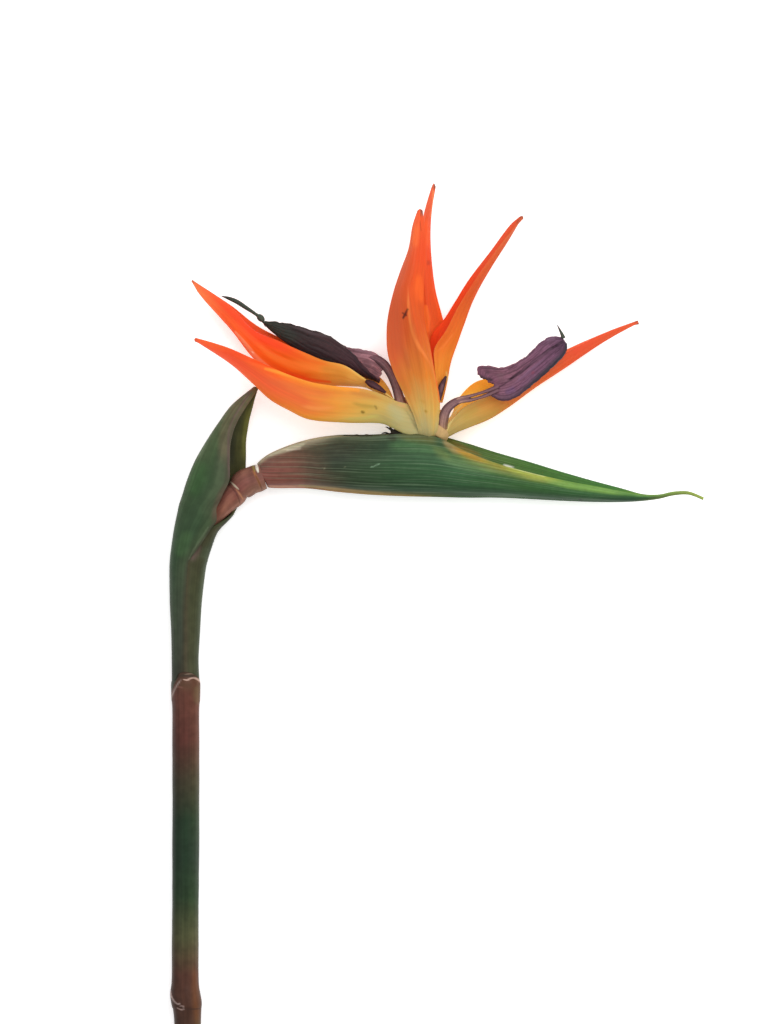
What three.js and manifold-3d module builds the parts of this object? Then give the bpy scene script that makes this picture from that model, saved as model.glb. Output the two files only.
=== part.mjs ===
// A cut bird of paradise flower (Strelitzia reginae) lying on a flat surface.
// Millimetres, +Z up. The origin is on the surface, under the belly of the leaf sheath,
// with the stalk along -Y and the flower head toward +X and +Y.
import * as THREE from 'three';
import { mergeVertices } from 'three/addons/utils/BufferGeometryUtils.js';
import Module from 'manifold-3d';

const wasm = await Module();
wasm.setup();

// ---------- driving dimensions, mm ----------

const GAP = 0.35; // clearance between pieces that touch
const SEPAL_WALL = 1.0;
const TONGUE_WALL = 1.2;
const PETAL_WALL = 0.9;
const SHEATH_WALL = 1.0;
const SHEATH_LAP = 1.35; // how far the inner layer tucks in where the sheath laps itself
const THINNEST = 0.6; // a blade's wall where it runs out to its tip
const THIN_SHARE = 0.34; // a blade's wall as a share of its narrower half, up to the full wall

// steps along and across each piece
const SEPAL_STEPS = [18, 6];
const TONGUE_STEPS = [16, 6];
const PETAL_STEPS = [7, 2];
const SHEATH_STEPS = [28, 14];
const SPATHE_STEPS = [28, 7];
const STALK_RINGS = 48;
const STALK_SIDES = 13;
const TONGUE_STALK_STEPS = [12, 7];
const STALK_TAPER = 0.8; // a tongue's stalk at its inner end, as a share of its foot
const STYLE_STEPS = [8, 7];
const KNOB_SIDES = [10, 7];
const BASE_RINGS = 9;
const BASE_SIDES = 14;
const WALL_SHAPE = [0, 0.52, 0.8, 0.96, 1, 0.93, 0.76, 0.5]; // spathe side from keel to lip
const LIP_POWER = 5; // how suddenly the spathe's side turns in to the lip
const TUCK_ANGLES = [170, 262]; // where the sheath's inner layer starts and ends its tuck

// stalk: rows of x, y, z and radius, from the cut foot to the flower head
const STALK = [
  [0, -225, 6.2, 5.6], [0, -195, 6.2, 5.7], [0, -184, 6.2, 5.9], [0, -177, 6.2, 6.45],
  [0, -170, 6.2, 5.9], [0, -150, 6.2, 5.6], [0, -100, 6.2, 5.7], [0, -58, 6.2, 5.7],
  [0, -50, 6.2, 6.3], [0, -44, 6.2, 6.3], [0, -42.4, 6.2, 5.7], [0, -41.8, 6.2, 3.9],
  [0, -40.4, 6.2, 3.9], [0, -35, 6.2, 3.9], [0, -17, 6.3, 3.9], [1, 4, 6.6, 4.0], [5.5, 15.5, 7.1, 4.2], [10.5, 24, 7.7, 4.8],
  [16, 31, 8.3, 5.0], [20.5, 36.3, 8.7, 4.9], [22, 38, 8.9, 5.3], [24, 39.4, 9.1, 4.9],
  [28, 41.6, 9.3, 4.9], [30.2, 42.7, 9.4, 5.5], [31.8, 43.5, 9.4, 5.4],
];

// leaf sheath: rows of y, left outline x, half width, half depth and centre height, then the
// near edge and the far edge as angles round the stalk (0 is left, 90 up, -90 under), and
// how much of the lap it has there
const SHEATH = [
  [-41.8, -5.4, 5.3, 5.3, 6.2, 40, -315, 0],
  [-33, -5.5, 5.2, 5.4, 6.2, 46, -309, 0],
  [-22, -5.7, 5.6, 5.7, 6.2, 62, -286, 0.5],
  [-9, -6.3, 6.3, 6.1, 6.4, 74, -284, 1],
  [4, -6.5, 7.2, 6.3, 6.5, 88, -290, 1],
  [12, -5.9, 7.9, 6.4, 6.8, 107, -286, 1],
  [19, -4.9, 8.9, 6.6, 7.2, 128, -250, 1.25],
  [24.5, -3.9, 10.3, 6.9, 7.5, 128, -194, 1.1],
  [31, -2.5, 14.2, 7.3, 7.8, 108, -138, 0],
  [42, 1.0, 16.6, 7.5, 8.1, 93, -124, 0],
  [50, 4.3, 14.2, 6.8, 8.2, 91, -124, 0],
  [58, 8.9, 10.2, 5.6, 8.4, 90, -130, 0],
  [66, 14.2, 7.2, 4.1, 8.6, 91, -134, 0],
  [73.5, 19.9, 5.2, 2.7, 8.8, 100, -128, 0],
  [81, 29.0, 1.2, 0.9, 9.0, 115, -115, 0],
];

// spathe: keel, near lip and far lip as [x, y], half depth, centre height,
// half opening between the lips and depth of the groove
const SPATHE = [
  [[34.6, 39.0], [30.6, 48.6], [30.2, 49.2], 5.6, 9.4, 1.8, 0.3],
  [[39, 38.6], [36.6, 53.2], [36.4, 53.8], 7.2, 9.5, 2.2, 0.4],
  [[51, 38.5], [50.0, 58.0], [50, 58.8], 8.6, 9.6, 2.6, 0.5],
  [[64, 37.0], [63.5, 60.0], [63.5, 61.0], 9.2, 9.8, 3.0, 0.5],
  [[78, 35.8], [77.5, 60.3], [77.5, 61.2], 9.4, 9.9, 3.6, 0.6],
  [[92, 35.2], [92, 60.6], [92, 61.4], 9.5, 9.8, 4.6, 0.8],
  [[105, 34.9], [105, 59.0], [105, 60.4], 9.5, 9.5, 4.8, 2.0],
  [[118, 34.6], [118, 51.6], [118, 57.0], 9.4, 9.0, 4.4, 4.0],
  [[131, 34.6], [131, 48.0], [131, 52.8], 8.8, 8.7, 3.8, 5.0],
  [[145, 34.0], [145, 44.6], [145, 48.6], 7.6, 8.7, 3.2, 4.2],
  [[158, 33.3], [158, 41.8], [158, 44.9], 6.3, 8.8, 2.6, 3.2],
  [[172, 32.8], [172, 39.4], [172, 41.2], 4.8, 8.9, 1.9, 2.0],
  [[184, 32.8], [184, 37.2], [184, 38.4], 3.2, 9.0, 1.1, 0.8],
  [[192, 33.2], [192, 35.8], [192, 36.2], 1.9, 9.0, 0.6, 0.2],
  [[199, 34.1], [199, 35.9], [199, 36.0], 1.0, 9.0, 0.4, 0.1],
  [[205, 35.5], [205, 37.1], [205, 37.2], 0.8, 9.0, 0.3, 0.1],
  [[211.5, 35.8], [211.5, 37.2], [211.5, 37.3], 0.7, 9.0, 0.3, 0.1],
  [[217.5, 33.6], [217.9, 34.7], [217.9, 34.8], 0.6, 9.0, 0.3, 0.1],
];

// floret feet: rows of x, y, z, half width and half depth
const FLORET_1_BASE = [
  [95.2, 54, 9.6, 2.9, 2.9], [94.6, 60, 9.6, 3.9, 3.3], [93.2, 65, 9.6, 5.4, 3.8],
  [91.2, 71, 9.4, 5.4, 3.8], [90.2, 76.5, 9.2, 3.6, 3.2],
];
const FLORET_2_BASE = [
  [103.2, 54, 9.6, 2.9, 3.1], [104.2, 60, 9.8, 4.2, 4.2], [105.3, 65, 10.2, 5.2, 6.2],
  [105.8, 70, 10.3, 4.6, 6.0], [105.8, 74.5, 10.2, 3.0, 4.0],
];

// sepals: near margin, keel and far margin, from the root to the tip
const SEPALS = {
  floret_1_sepal_lower: {
    near: [[93.4, 75, 15.2], [88.5, 76, 16.6], [83, 78, 18.5], [75.5, 80, 20.5],
      [62, 81.5, 23], [52.5, 83, 24], [42.5, 86.5, 24.5], [33.5, 90.5, 24], [19, 97, 21.5], [4.4, 101.7, 17.5]],
    keel: [[98, 62.3, 14.6], [92, 62.3, 14], [87, 63.6, 13.2], [83, 65.7, 13.2],
      [68, 66.5, 14.5], [51.5, 68, 16], [44, 71.5, 16.5],
      [36, 76, 17], [29, 82.5, 17], [20, 90.5, 16.5], [10.5, 96.9, 16.5], [3.8, 101, 17]],
    far: [[87, 72, 8.8], [80, 75.4, 9.6], [72, 77, 10], [62, 78.5, 10.5], [52.5, 80.5, 11],
      [42.5, 84, 12], [33.5, 88.5, 13], [19, 95.5, 14.4], [4.4, 100, 16.3]],
    swell: 0.14,
    crease: 1.25,
  },
  floret_1_sepal_upper: {
    near: [[88.3, 75.5, 12], [83, 79.2, 12.4], [76, 84, 13.6], [67, 90, 15], [58, 92.2, 15.6],
      [49, 96, 15.6], [39, 100.5, 15], [28.5, 105, 14], [19, 115, 13], [2.8, 126.2, 11.6]],
    keel: [[88, 73.3, 8], [83.5, 77, 8], [76, 81.3, 8.5], [67, 82, 9], [56.5, 82.5, 9],
      [44, 85, 9], [31, 91.5, 9], [19, 106, 9.5], [6.5, 120, 10.5], [2.6, 125.6, 11]],
    far: [[87.6, 75.5, 5.5], [85.2, 81, 4.6], [82, 85, 4], [76, 88.5, 4], [68, 91.5, 3.8],
      [58, 95, 3.5], [44, 100, 3], [30, 107, 3.5], [19, 115.5, 5], [2.8, 126, 10.2]],
    swell: 0.1,
    crease: 1.3,
  },
  floret_1_sepal_back: {
    near: [[93.5, 72, 5], [94.5, 82, 3.8], [94.3, 105, 3.2], [95.5, 120, 3.6], [97.5, 135, 4.5],
      [99, 148, 5], [101, 157, 5.8], [103.5, 165.6, 6.7]],
    keel: [[96, 71.5, 6], [98.5, 80, 5.2], [101.5, 92, 4.8], [102.2, 104, 5.2], [100.8, 120, 6.6],
      [100, 134, 7.6], [100.7, 147, 7.8], [102.4, 158, 7.2], [104.4, 166.9, 7]],
    far: [[98.5, 72, 5], [104, 82, 3], [109, 95, 2.6], [109.8, 103, 2.8], [107.6, 112, 3.4],
      [105, 122, 4], [103.3, 135, 4.8], [102.8, 147, 5.2], [103.8, 158, 5.8], [105.2, 165.5, 6.7]],
    swell: 0.05,
    crease: 1.3,
  },
  floret_2_sepal_front: {
    near: [[99.3, 62.5, 17.8], [95.5, 70, 17.8], [92, 77.5, 17.2], [87.5, 87, 17.2],
      [85, 95, 17.5], [84.5, 102, 18], [85, 110, 18], [87.5, 121, 18], [90.3, 129.5, 18],
      [93.8, 139, 17.5], [95.5, 149, 17], [97.4, 155, 16.5]],
    keel: [[102.5, 62.2, 19], [101.2, 75, 20.6], [99.8, 87, 21.8], [97.3, 99, 22.5],
      [94, 114, 22.5], [93.3, 122, 22], [95.2, 130, 21.3], [97.2, 145, 19], [98.5, 155.7, 16.9]],
    far: [[105.2, 63.5, 17.6], [105.3, 75, 17.2], [105, 87, 17.2], [102.5, 98.5, 17.6],
      [100.2, 110, 18], [100, 124, 18], [100.6, 134.5, 17.8], [100.4, 145, 17.2],
      [99.6, 155, 16.5]],
    swell: 0.1,
    crease: 1.3,
  },
  floret_2_sepal_upper: {
    near: [[106.6, 75, 12.6], [105.4, 83, 13.4], [104.6, 90, 14], [104.6, 97, 14.5],
      [109.5, 104.8, 15], [114.5, 114.5, 15], [120.5, 124, 15], [126.2, 132.5, 14],
      [136.5, 146, 13], [142, 152, 11.8]],
    keel: [[107.6, 74.5, 10.5], [109.6, 83, 10.5], [111.3, 92, 10.8], [114.5, 101, 11],
      [120.5, 117.5, 11.5], [127.5, 130.5, 11.5], [136.6, 144.8, 11], [141.6, 153, 10.8]],
    far: [[105, 75, 8], [103.2, 88, 7.4], [103, 96.5, 7.3], [103.8, 103.5, 7.3], [108.5, 109.3, 7.2],
      [114, 118, 7.5], [119, 126, 8], [128.5, 138.5, 9], [136.8, 149.6, 9.6], [140.3, 152.6, 10.2]],
    swell: 0.08,
    crease: 1.25,
  },
  floret_2_sepal_right: {
    near: [[110.6, 66, 14], [113.8, 69.5, 14], [117.5, 72.8, 14], [128, 77.5, 14],
      [140.5, 82.5, 14], [151, 89.5, 14], [160, 95.5, 13.5], [175.5, 103.5, 12.2],
      [190, 109.1, 10.9]],
    keel: [[110, 60.6, 10], [114, 62.5, 9.5], [119, 64.5, 9.3], [127.5, 68, 9], [135.5, 73, 9],
      [146.5, 81, 9], [160, 90, 9.5], [177.5, 101.6, 10], [190.4, 108.3, 10.3]],
    far: [[110.8, 68, 6], [115, 76.5, 4.2], [121.5, 83, 3.6], [130, 85.5, 3.5], [140.5, 88.5, 3.6],
      [151, 92.8, 4], [160.5, 97, 4.6], [168, 100.4, 5.4], [184, 106.6, 8], [190.6, 107.5, 9.6]],
    swell: 0.1,
    crease: 1.5,
  },
};

// tongues: two wings joined along a keel, and the stalk that carries them
const TONGUES = {
  floret_1_tongue: {
    near: [[81.5, 83.4, 11.6], [78.5, 86.5, 12.2], [75, 89.8, 12.5], [71.5, 94, 12.4],
      [67, 98, 12], [59.5, 103, 11.5], [52.5, 105.2, 11], [45.5, 107.3, 10.6], [39, 108.3, 10.6],
      [33.4, 108.8, 10.4]],
    keel: [[81.2, 84, 8.7], [74, 86.3, 8.8], [66, 88.2, 9], [59, 91, 9], [52, 94, 9],
      [44, 99, 9], [37, 104.4, 9], [33.3, 107.8, 9.2]],
    far: [[86.3, 89.3, 7], [82.5, 93, 6.4], [76.5, 96.6, 6.2], [70.5, 97.6, 6], [65, 99, 6],
      [58, 102, 6], [50, 105, 6.4], [41, 107.2, 7.2], [33.4, 108.2, 7.8]],
    swell: 0.12,
    crease: 1.2,
    stalks: [{ path: [[90.3, 75.2, 11], [89.3, 79.5, 10.6], [87.6, 84, 9.9], [84, 87.3, 9.2],
      [78, 88, 9], [71, 87.8, 9]], radius: 1.45 }],
  },
  floret_2_tongue: {
    near: [[128.2, 77.2, 18.4], [133, 75.4, 18], [137.5, 76.2, 17.8], [142, 79, 17.8],
      [150, 85.8, 17.8], [155.8, 91, 18], [159.6, 95.6, 18.2], [159.9, 99, 18.6]],
    keel: [[130, 81.8, 18.8], [137, 84.8, 19], [143.5, 89.8, 19.2], [150, 94.6, 19.2],
      [155, 98.2, 19], [159.2, 100.2, 18.8]],
    far: [[122.8, 86, 18.2], [122.9, 89.3, 18], [127, 89.8, 17.8], [132, 89, 17.8],
      [137, 90.2, 17.8], [143.5, 94.2, 17.8], [149, 99.6, 18], [153.5, 102, 18.2],
      [158.2, 101.8, 18.6]],
    swell: -0.42,
    crease: 1.0,
    stalks: [
      { path: [[107.4, 66.6, 18.2], [108.4, 71, 18.6], [113.2, 75.3, 18.6], [121, 77.2, 18.6],
        [128.6, 79.7, 18.6], [133, 81.6, 18]], radius: 1.0 },
      { path: [[108.8, 66.2, 18.2], [110.3, 70, 18.6], [114.6, 73.7, 18.6], [121.8, 75.5, 18.6],
        [128.6, 77.9, 18.6], [133, 79.8, 18]], radius: 1.0 },
    ],
  },
};

const SMALL_PETALS = {
  floret_1_small_petal: {
    near: [[87.2, 74.2, 14.6], [82, 79.6, 14.8], [78, 83, 15], [75.9, 84.2, 15]],
    keel: [[86.6, 73.4, 14], [81.4, 79, 14.2], [77.6, 82.2, 14.4], [75.7, 83.8, 14.6]],
    far: [[86, 73, 13.4], [80, 78.8, 13.6], [77, 81.6, 13.8], [75.5, 83.4, 14.2]],
  },
  floret_2_small_petal: {
    near: [[105.9, 71.2, 14.6], [106.3, 78, 15.3], [107, 83, 15.4], [108.5, 84.9, 15.2]],
    keel: [[106.8, 71, 14.9], [107.6, 78, 15.6], [108.3, 83, 15.6], [109.3, 85.4, 15.4]],
    far: [[107.6, 71, 14.6], [109.1, 78, 15.3], [109.7, 83, 15.4], [110, 84.9, 15.1]],
  },
};

// styles: a path with the radius at each end, and the knob at its foot
const STYLES = {
  floret_1_style: {
    path: [[31.6, 110, 9.4], [28, 114, 9.4], [23.5, 117, 9.3], [19, 118.6, 9.2], [15, 119.1, 9.1]],
    radii: [0.95, 0.4],
    knob: 1.35,
  },
  floret_2_style: {
    path: [[158.6, 103.3, 19], [158, 104.3, 19.1], [157.1, 105.6, 19.1], [156.1, 106.9, 19]],
    radii: [0.75, 0.4],
    knob: 0.8,
  },
};

const LOOKS = {
  stem: [0x4c5a2c, 0.5],
  sheath_leaf: [0x4d5f2a, 0.5],
  spathe: [0x4f6b34, 0.45],
  base: [0xd9d6a2, 0.55],
  sepal: [0xf07818, 0.5],
  tongue: [0x2a2352, 0.5],
  style: [0x3a2f5c, 0.5],
};

// ---------- geometry helpers ----------

function vector([x, y, z]) {
  return new THREE.Vector3(x, y, z);
}

// a smooth line through the points, cut into equal lengths
function smoothLine(points, steps) {
  return new THREE.CatmullRomCurve3(points.map(vector), false, 'centripetal').getSpacedPoints(steps);
}

// rows of plain numbers, smoothed from station to station
function smoothStations(stations, steps) {
  const last = stations.length - 1;
  const rows = [];
  for (let i = 0; i <= steps; i += 1) {
    const place = (i / steps) * last;
    const index = Math.min(Math.floor(place), last - 1);
    const share = place - index;
    const knots = [-1, 0, 1, 2].map((k) => stations[THREE.MathUtils.clamp(index + k, 0, last)]);
    rows.push(stations[0].map((_, column) => {
      const [a, b, c, d] = knots.map((knot) => knot[column]);
      return b + 0.5 * share * (c - a + share * (2 * a - 5 * b + 4 * c - d
        + share * (3 * (b - c) + d - a)));
    }));
  }
  return rows;
}

function solidGeometry(positions, triangles) {
  const geometry = new THREE.BufferGeometry();
  geometry.setAttribute('position', new THREE.Float32BufferAttribute(positions, 3));
  geometry.setIndex(triangles);
  return geometry;
}

// a closed body from rings of points that all have the same count, with flat ends
function loft(rings) {
  const sides = rings[0].length;
  const positions = [];
  const triangles = [];
  rings.forEach((ring) => ring.forEach((p) => positions.push(p.x, p.y, p.z)));
  for (let i = 0; i < rings.length - 1; i += 1) {
    for (let j = 0; j < sides; j += 1) {
      const a = i * sides + j;
      const b = i * sides + ((j + 1) % sides);
      triangles.push(a, b + sides, b, a, a + sides, b + sides);
    }
  }
  [[rings[0], true], [rings[rings.length - 1], false]].forEach(([ring, first]) => {
    const centre = ring.reduce((sum, p) => sum.add(p), new THREE.Vector3()).divideScalar(sides);
    const middle = positions.length / 3;
    const start = first ? 0 : (rings.length - 1) * sides;
    positions.push(centre.x, centre.y, centre.z);
    for (let j = 0; j < sides; j += 1) {
      const a = start + j;
      const b = start + ((j + 1) % sides);
      triangles.push(...(first ? [middle, a, b] : [middle, b, a]));
    }
  });
  return solidGeometry(positions, triangles);
}

// an elliptic ring square to the direction of travel, its width level with the surface
function ellipseRing(centre, travel, halfWidth, halfDepth, sides) {
  const side = new THREE.Vector3(travel.y, -travel.x, 0).normalize();
  const up = new THREE.Vector3().crossVectors(side, travel).normalize();
  const ring = [];
  for (let j = 0; j < sides; j += 1) {
    const turn = (j / sides) * 2 * Math.PI;
    ring.push(centre.clone().addScaledVector(side, halfWidth * Math.cos(turn))
      .addScaledVector(up, halfDepth * Math.sin(turn)));
  }
  return ring;
}

// a round or oval rod through rows of [x, y, z, half width, half depth]
function rod(rows, sides) {
  const centres = rows.map((row) => vector(row));
  return loft(rows.map((row, i) => {
    const travel = centres[Math.min(i + 1, rows.length - 1)].clone()
      .sub(centres[Math.max(i - 1, 0)]).normalize();
    return ellipseRing(centres[i], travel, row[3], row[4] ?? row[3], sides);
  }));
}

// a tapering rod along a smooth line
function taperedRod(points, radii, steps, sides) {
  const line = smoothLine(points, steps);
  return rod(line.map((p, i) => {
    return [p.x, p.y, p.z, THREE.MathUtils.lerp(radii[0], radii[1], i / steps)];
  }), sides);
}

// a closed sheet round a grid of points, with a thickness for each row
function sheet(grid, walls) {
  const rows = grid.length;
  const columns = grid[0].length;
  const positions = [];
  const triangles = [];
  const at = (i, j) => {
    const row = grid[THREE.MathUtils.clamp(i, 0, rows - 1)];
    return row[THREE.MathUtils.clamp(j, 0, columns - 1)];
  };
  [0.5, -0.5].forEach((half) => {
    for (let i = 0; i < rows; i += 1) {
      for (let j = 0; j < columns; j += 1) {
        const along = at(i + 1, j).clone().sub(at(i - 1, j));
        const across = at(i, j + 1).clone().sub(at(i, j - 1));
        const normal = along.cross(across).normalize();
        const p = grid[i][j].clone().addScaledVector(normal, half * walls[i]);
        positions.push(p.x, p.y, p.z);
      }
    }
  });
  const back = rows * columns;
  const quad = (a, b, c, d) => triangles.push(a, b, c, a, c, d);
  for (let i = 0; i < rows - 1; i += 1) {
    for (let j = 0; j < columns - 1; j += 1) {
      const a = i * columns + j;
      quad(a, a + columns, a + columns + 1, a + 1);
      quad(back + a, back + a + 1, back + a + columns + 1, back + a + columns);
    }
  }
  for (let i = 0; i < rows - 1; i += 1) {
    const a = i * columns;
    const b = a + columns - 1;
    quad(a, back + a, back + a + columns, a + columns);
    quad(b, b + columns, back + b + columns, back + b);
  }
  for (let j = 0; j < columns - 1; j += 1) {
    const b = (rows - 1) * columns + j;
    quad(j, j + 1, back + j + 1, back + j);
    quad(b, back + b, back + b + 1, b + 1);
  }
  return solidGeometry(positions, triangles);
}

// pushes the rim of a grid outward, for a clearance all round
function widened(grid, distance) {
  const rows = grid.length;
  const columns = grid[0].length;
  const wide = grid.map((row) => row.map((p) => p.clone()));
  const push = (i, j, from) => {
    const step = grid[i][j].clone().sub(from);
    wide[i][j].addScaledVector(step.normalize(), distance);
  };
  for (let i = 0; i < rows; i += 1) {
    push(i, 0, grid[i][1]);
    push(i, columns - 1, grid[i][columns - 2]);
  }
  for (let j = 0; j < columns; j += 1) {
    push(0, j, grid[1][j]);
    push(rows - 1, j, grid[rows - 2][j]);
  }
  return wide;
}

// points of a folded blade: two halves that swell out between a keel and two margins
function bladeGrid({ near, keel, far, swell = 0, crease = 1 }, [along, across]) {
  const lines = [near, keel, far].map((points) => smoothLine(points, along));
  const grid = lines[0].map((_, i) => {
    const [n, k, f] = lines.map((line) => line[i]);
    const row = [];
    for (let j = 0; j <= across; j += 1) {
      const v = (2 * j) / across - 1;
      const fold = Math.abs(v) ** crease;
      const level = n.clone().add(f).multiplyScalar(0.5).sub(k);
      row.push(k.clone().addScaledVector(f.clone().sub(n), v / 2).addScaledVector(level, fold));
    }
    return row;
  });
  return grid.map((row, i) => row.map((p, j) => {
    const v = Math.abs((2 * j) / across - 1);
    const half = row[across / 2].distanceTo(j < across / 2 ? row[0] : row[across]);
    const before = grid[Math.max(i - 1, 0)][j];
    const after = grid[Math.min(i + 1, along)][j];
    const sideways = row[Math.min(j + 1, across)].clone().sub(row[Math.max(j - 1, 0)]);
    const out = after.clone().sub(before).cross(sideways).normalize();
    return p.clone().addScaledVector(out, swell * half * 2 * v * (1 - v));
  }));
}

// ---------- joining and cutting ----------

function toSolid(geometry) {
  const bare = geometry.clone();
  bare.deleteAttribute('normal');
  bare.deleteAttribute('uv');
  const merged = mergeVertices(bare);
  return new wasm.Manifold(new wasm.Mesh({
    numProp: 3,
    vertProperties: new Float32Array(merged.attributes.position.array),
    triVerts: new Uint32Array(merged.index.array),
  }));
}

// the largest piece of a cut solid
function largest(solid) {
  return solid.decompose().reduce((best, part) => (part.volume() > best.volume() ? part : best));
}

function toGeometry(solid) {
  const mesh = largest(solid).getMesh();
  const geometry = solidGeometry(Array.from(mesh.vertProperties), Array.from(mesh.triVerts));
  geometry.computeVertexNormals();
  return geometry;
}

function cut(solid, cutters) {
  return cutters.reduce((left, cutter) => left.subtract(cutter), solid);
}

// the half space above the surface
function aboveSurface() {
  const size = 1000;
  const box = new THREE.BoxGeometry(size, size, size);
  box.translate(0, 0, size / 2);
  return toSolid(box);
}

// ---------- the pieces ----------

function stalkSolid(grow) {
  const rows = smoothStations(STALK, STALK_RINGS);
  return toSolid(rod(rows.map((row) => [row[0], row[1], row[2], row[3] + grow]), STALK_SIDES));
}

function sheathSolid() {
  const rows = smoothStations(SHEATH, SHEATH_STEPS[0]);
  const grid = rows.map(([y, left, halfWidth, halfDepth, height, near, far, lap]) => {
    const row = [];
    for (let j = 0; j <= SHEATH_STEPS[1]; j += 1) {
      const angle = THREE.MathUtils.lerp(near, far, j / SHEATH_STEPS[1]);
      const tuck = lap * SHEATH_LAP * THREE.MathUtils.smoothstep(-angle, ...TUCK_ANGLES);
      const turn = THREE.MathUtils.degToRad(angle);
      row.push(new THREE.Vector3(
        left + halfWidth - (halfWidth - tuck) * Math.cos(turn),
        y,
        height + (halfDepth - tuck) * Math.sin(turn),
      ));
    }
    return row;
  });
  return toSolid(sheet(grid, grid.map(() => SHEATH_WALL)));
}

function spatheSolid() {
  const [steps, wallSteps] = SPATHE_STEPS;
  const flat = SPATHE.map(([keel, near, far, ...rest]) => [...keel, ...near, ...far, ...rest]);
  const rings = smoothStations(flat, steps).map((row) => {
    const [keelX, keelY, nearX, nearY, farX, farY, depth, height, opening, groove] = row;
    const wallPoint = (lipX, lipY, side, step) => {
      const share = step / wallSteps;
      const out = THREE.MathUtils.lerp(WALL_SHAPE[step] * depth, opening, share ** LIP_POWER);
      return new THREE.Vector3(
        THREE.MathUtils.lerp(keelX, lipX, share),
        THREE.MathUtils.lerp(keelY, lipY, share),
        height + side * out,
      );
    };
    const ring = [];
    for (let j = 0; j <= wallSteps; j += 1) ring.push(wallPoint(nearX, nearY, 1, j));
    ring.push(new THREE.Vector3((nearX + farX) / 2, Math.min(nearY, farY) - groove, height));
    for (let j = wallSteps; j > 0; j -= 1) ring.push(wallPoint(farX, farY, -1, j));
    return ring;
  });
  return toSolid(loft(rings));
}

function baseSolid(stations, grow) {
  const rows = smoothStations(stations, BASE_RINGS);
  return toSolid(rod(rows.map(([x, y, z, w, d]) => [x, y, z, w + grow, d + grow]), BASE_SIDES));
}

// a blade's wall, row by row: full where it is wide, thinner where it narrows
function bladeWalls(grid, thickness) {
  return grid.map((row) => {
    const keel = row[(row.length - 1) / 2];
    const half = Math.min(keel.distanceTo(row[0]), keel.distanceTo(row[row.length - 1]));
    return THREE.MathUtils.clamp(THIN_SHARE * half, THINNEST, thickness);
  });
}

function bladeSolid(shape, steps, thickness, grow = 0) {
  const grid = bladeGrid(shape, steps);
  const walls = bladeWalls(grid, thickness).map((wall) => wall + 2 * grow);
  return toSolid(sheet(grow ? widened(grid, grow) : grid, walls));
}

function tongueSolid(shape, grow = 0) {
  const stalks = shape.stalks.map(({ path, radius }) => {
    const radii = [radius + grow, radius * STALK_TAPER + grow];
    return toSolid(taperedRod(path, radii, ...TONGUE_STALK_STEPS));
  });
  const blade = bladeSolid(shape, TONGUE_STEPS, TONGUE_WALL, grow);
  return stalks.reduce((whole, stalk) => whole.add(stalk), blade);
}

function styleSolid({ path, radii, knob }) {
  const thread = toSolid(taperedRod(path, radii, ...STYLE_STEPS));
  const ball = new THREE.SphereGeometry(knob, ...KNOB_SIDES);
  ball.translate(...path[0]);
  return thread.add(toSolid(ball));
}

// ---------- seating the pieces on each other ----------

const solids = {};
const clear = {};

Object.entries(SEPALS).forEach(([name, shape]) => {
  solids[name] = bladeSolid(shape, SEPAL_STEPS, SEPAL_WALL);
  clear[name] = bladeSolid(shape, SEPAL_STEPS, SEPAL_WALL, GAP);
});
Object.entries(TONGUES).forEach(([name, shape]) => {
  solids[name] = tongueSolid(shape);
  clear[name] = tongueSolid(shape, GAP);
});
Object.entries(SMALL_PETALS).forEach(([name, shape]) => {
  solids[name] = bladeSolid(shape, PETAL_STEPS, PETAL_WALL);
  clear[name] = bladeSolid(shape, PETAL_STEPS, PETAL_WALL, GAP);
});
Object.entries(STYLES).forEach(([name, shape]) => {
  solids[name] = cut(styleSolid(shape), Object.keys(TONGUES).map((tongue) => clear[tongue]));
});

const surface = aboveSurface();
solids.stem = stalkSolid(0).intersect(surface);
solids.sheath_leaf = cut(sheathSolid(), [stalkSolid(GAP)]).intersect(surface);
solids.floret_1_base = cut(baseSolid(FLORET_1_BASE, 0), Object.values(clear));
solids.floret_2_base = cut(baseSolid(FLORET_2_BASE, 0), Object.values(clear));
solids.spathe = cut(spatheSolid(), [
  baseSolid(FLORET_1_BASE, GAP),
  baseSolid(FLORET_2_BASE, GAP),
  stalkSolid(GAP),
]).intersect(surface);

// ---------- the flower ----------

function lookOf(name) {
  const key = Object.keys(LOOKS).find((look) => name.includes(look)) ?? 'tongue';
  const [color, roughness] = LOOKS[key];
  return new THREE.MeshStandardMaterial({ color, roughness, metalness: 0, side: THREE.DoubleSide });
}

const flower = new THREE.Group();
Object.entries(solids).forEach(([name, solid]) => {
  const mesh = new THREE.Mesh(toGeometry(solid), lookOf(name));
  mesh.name = name;
  flower.add(mesh);
});

export default flower;
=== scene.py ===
import math

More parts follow.
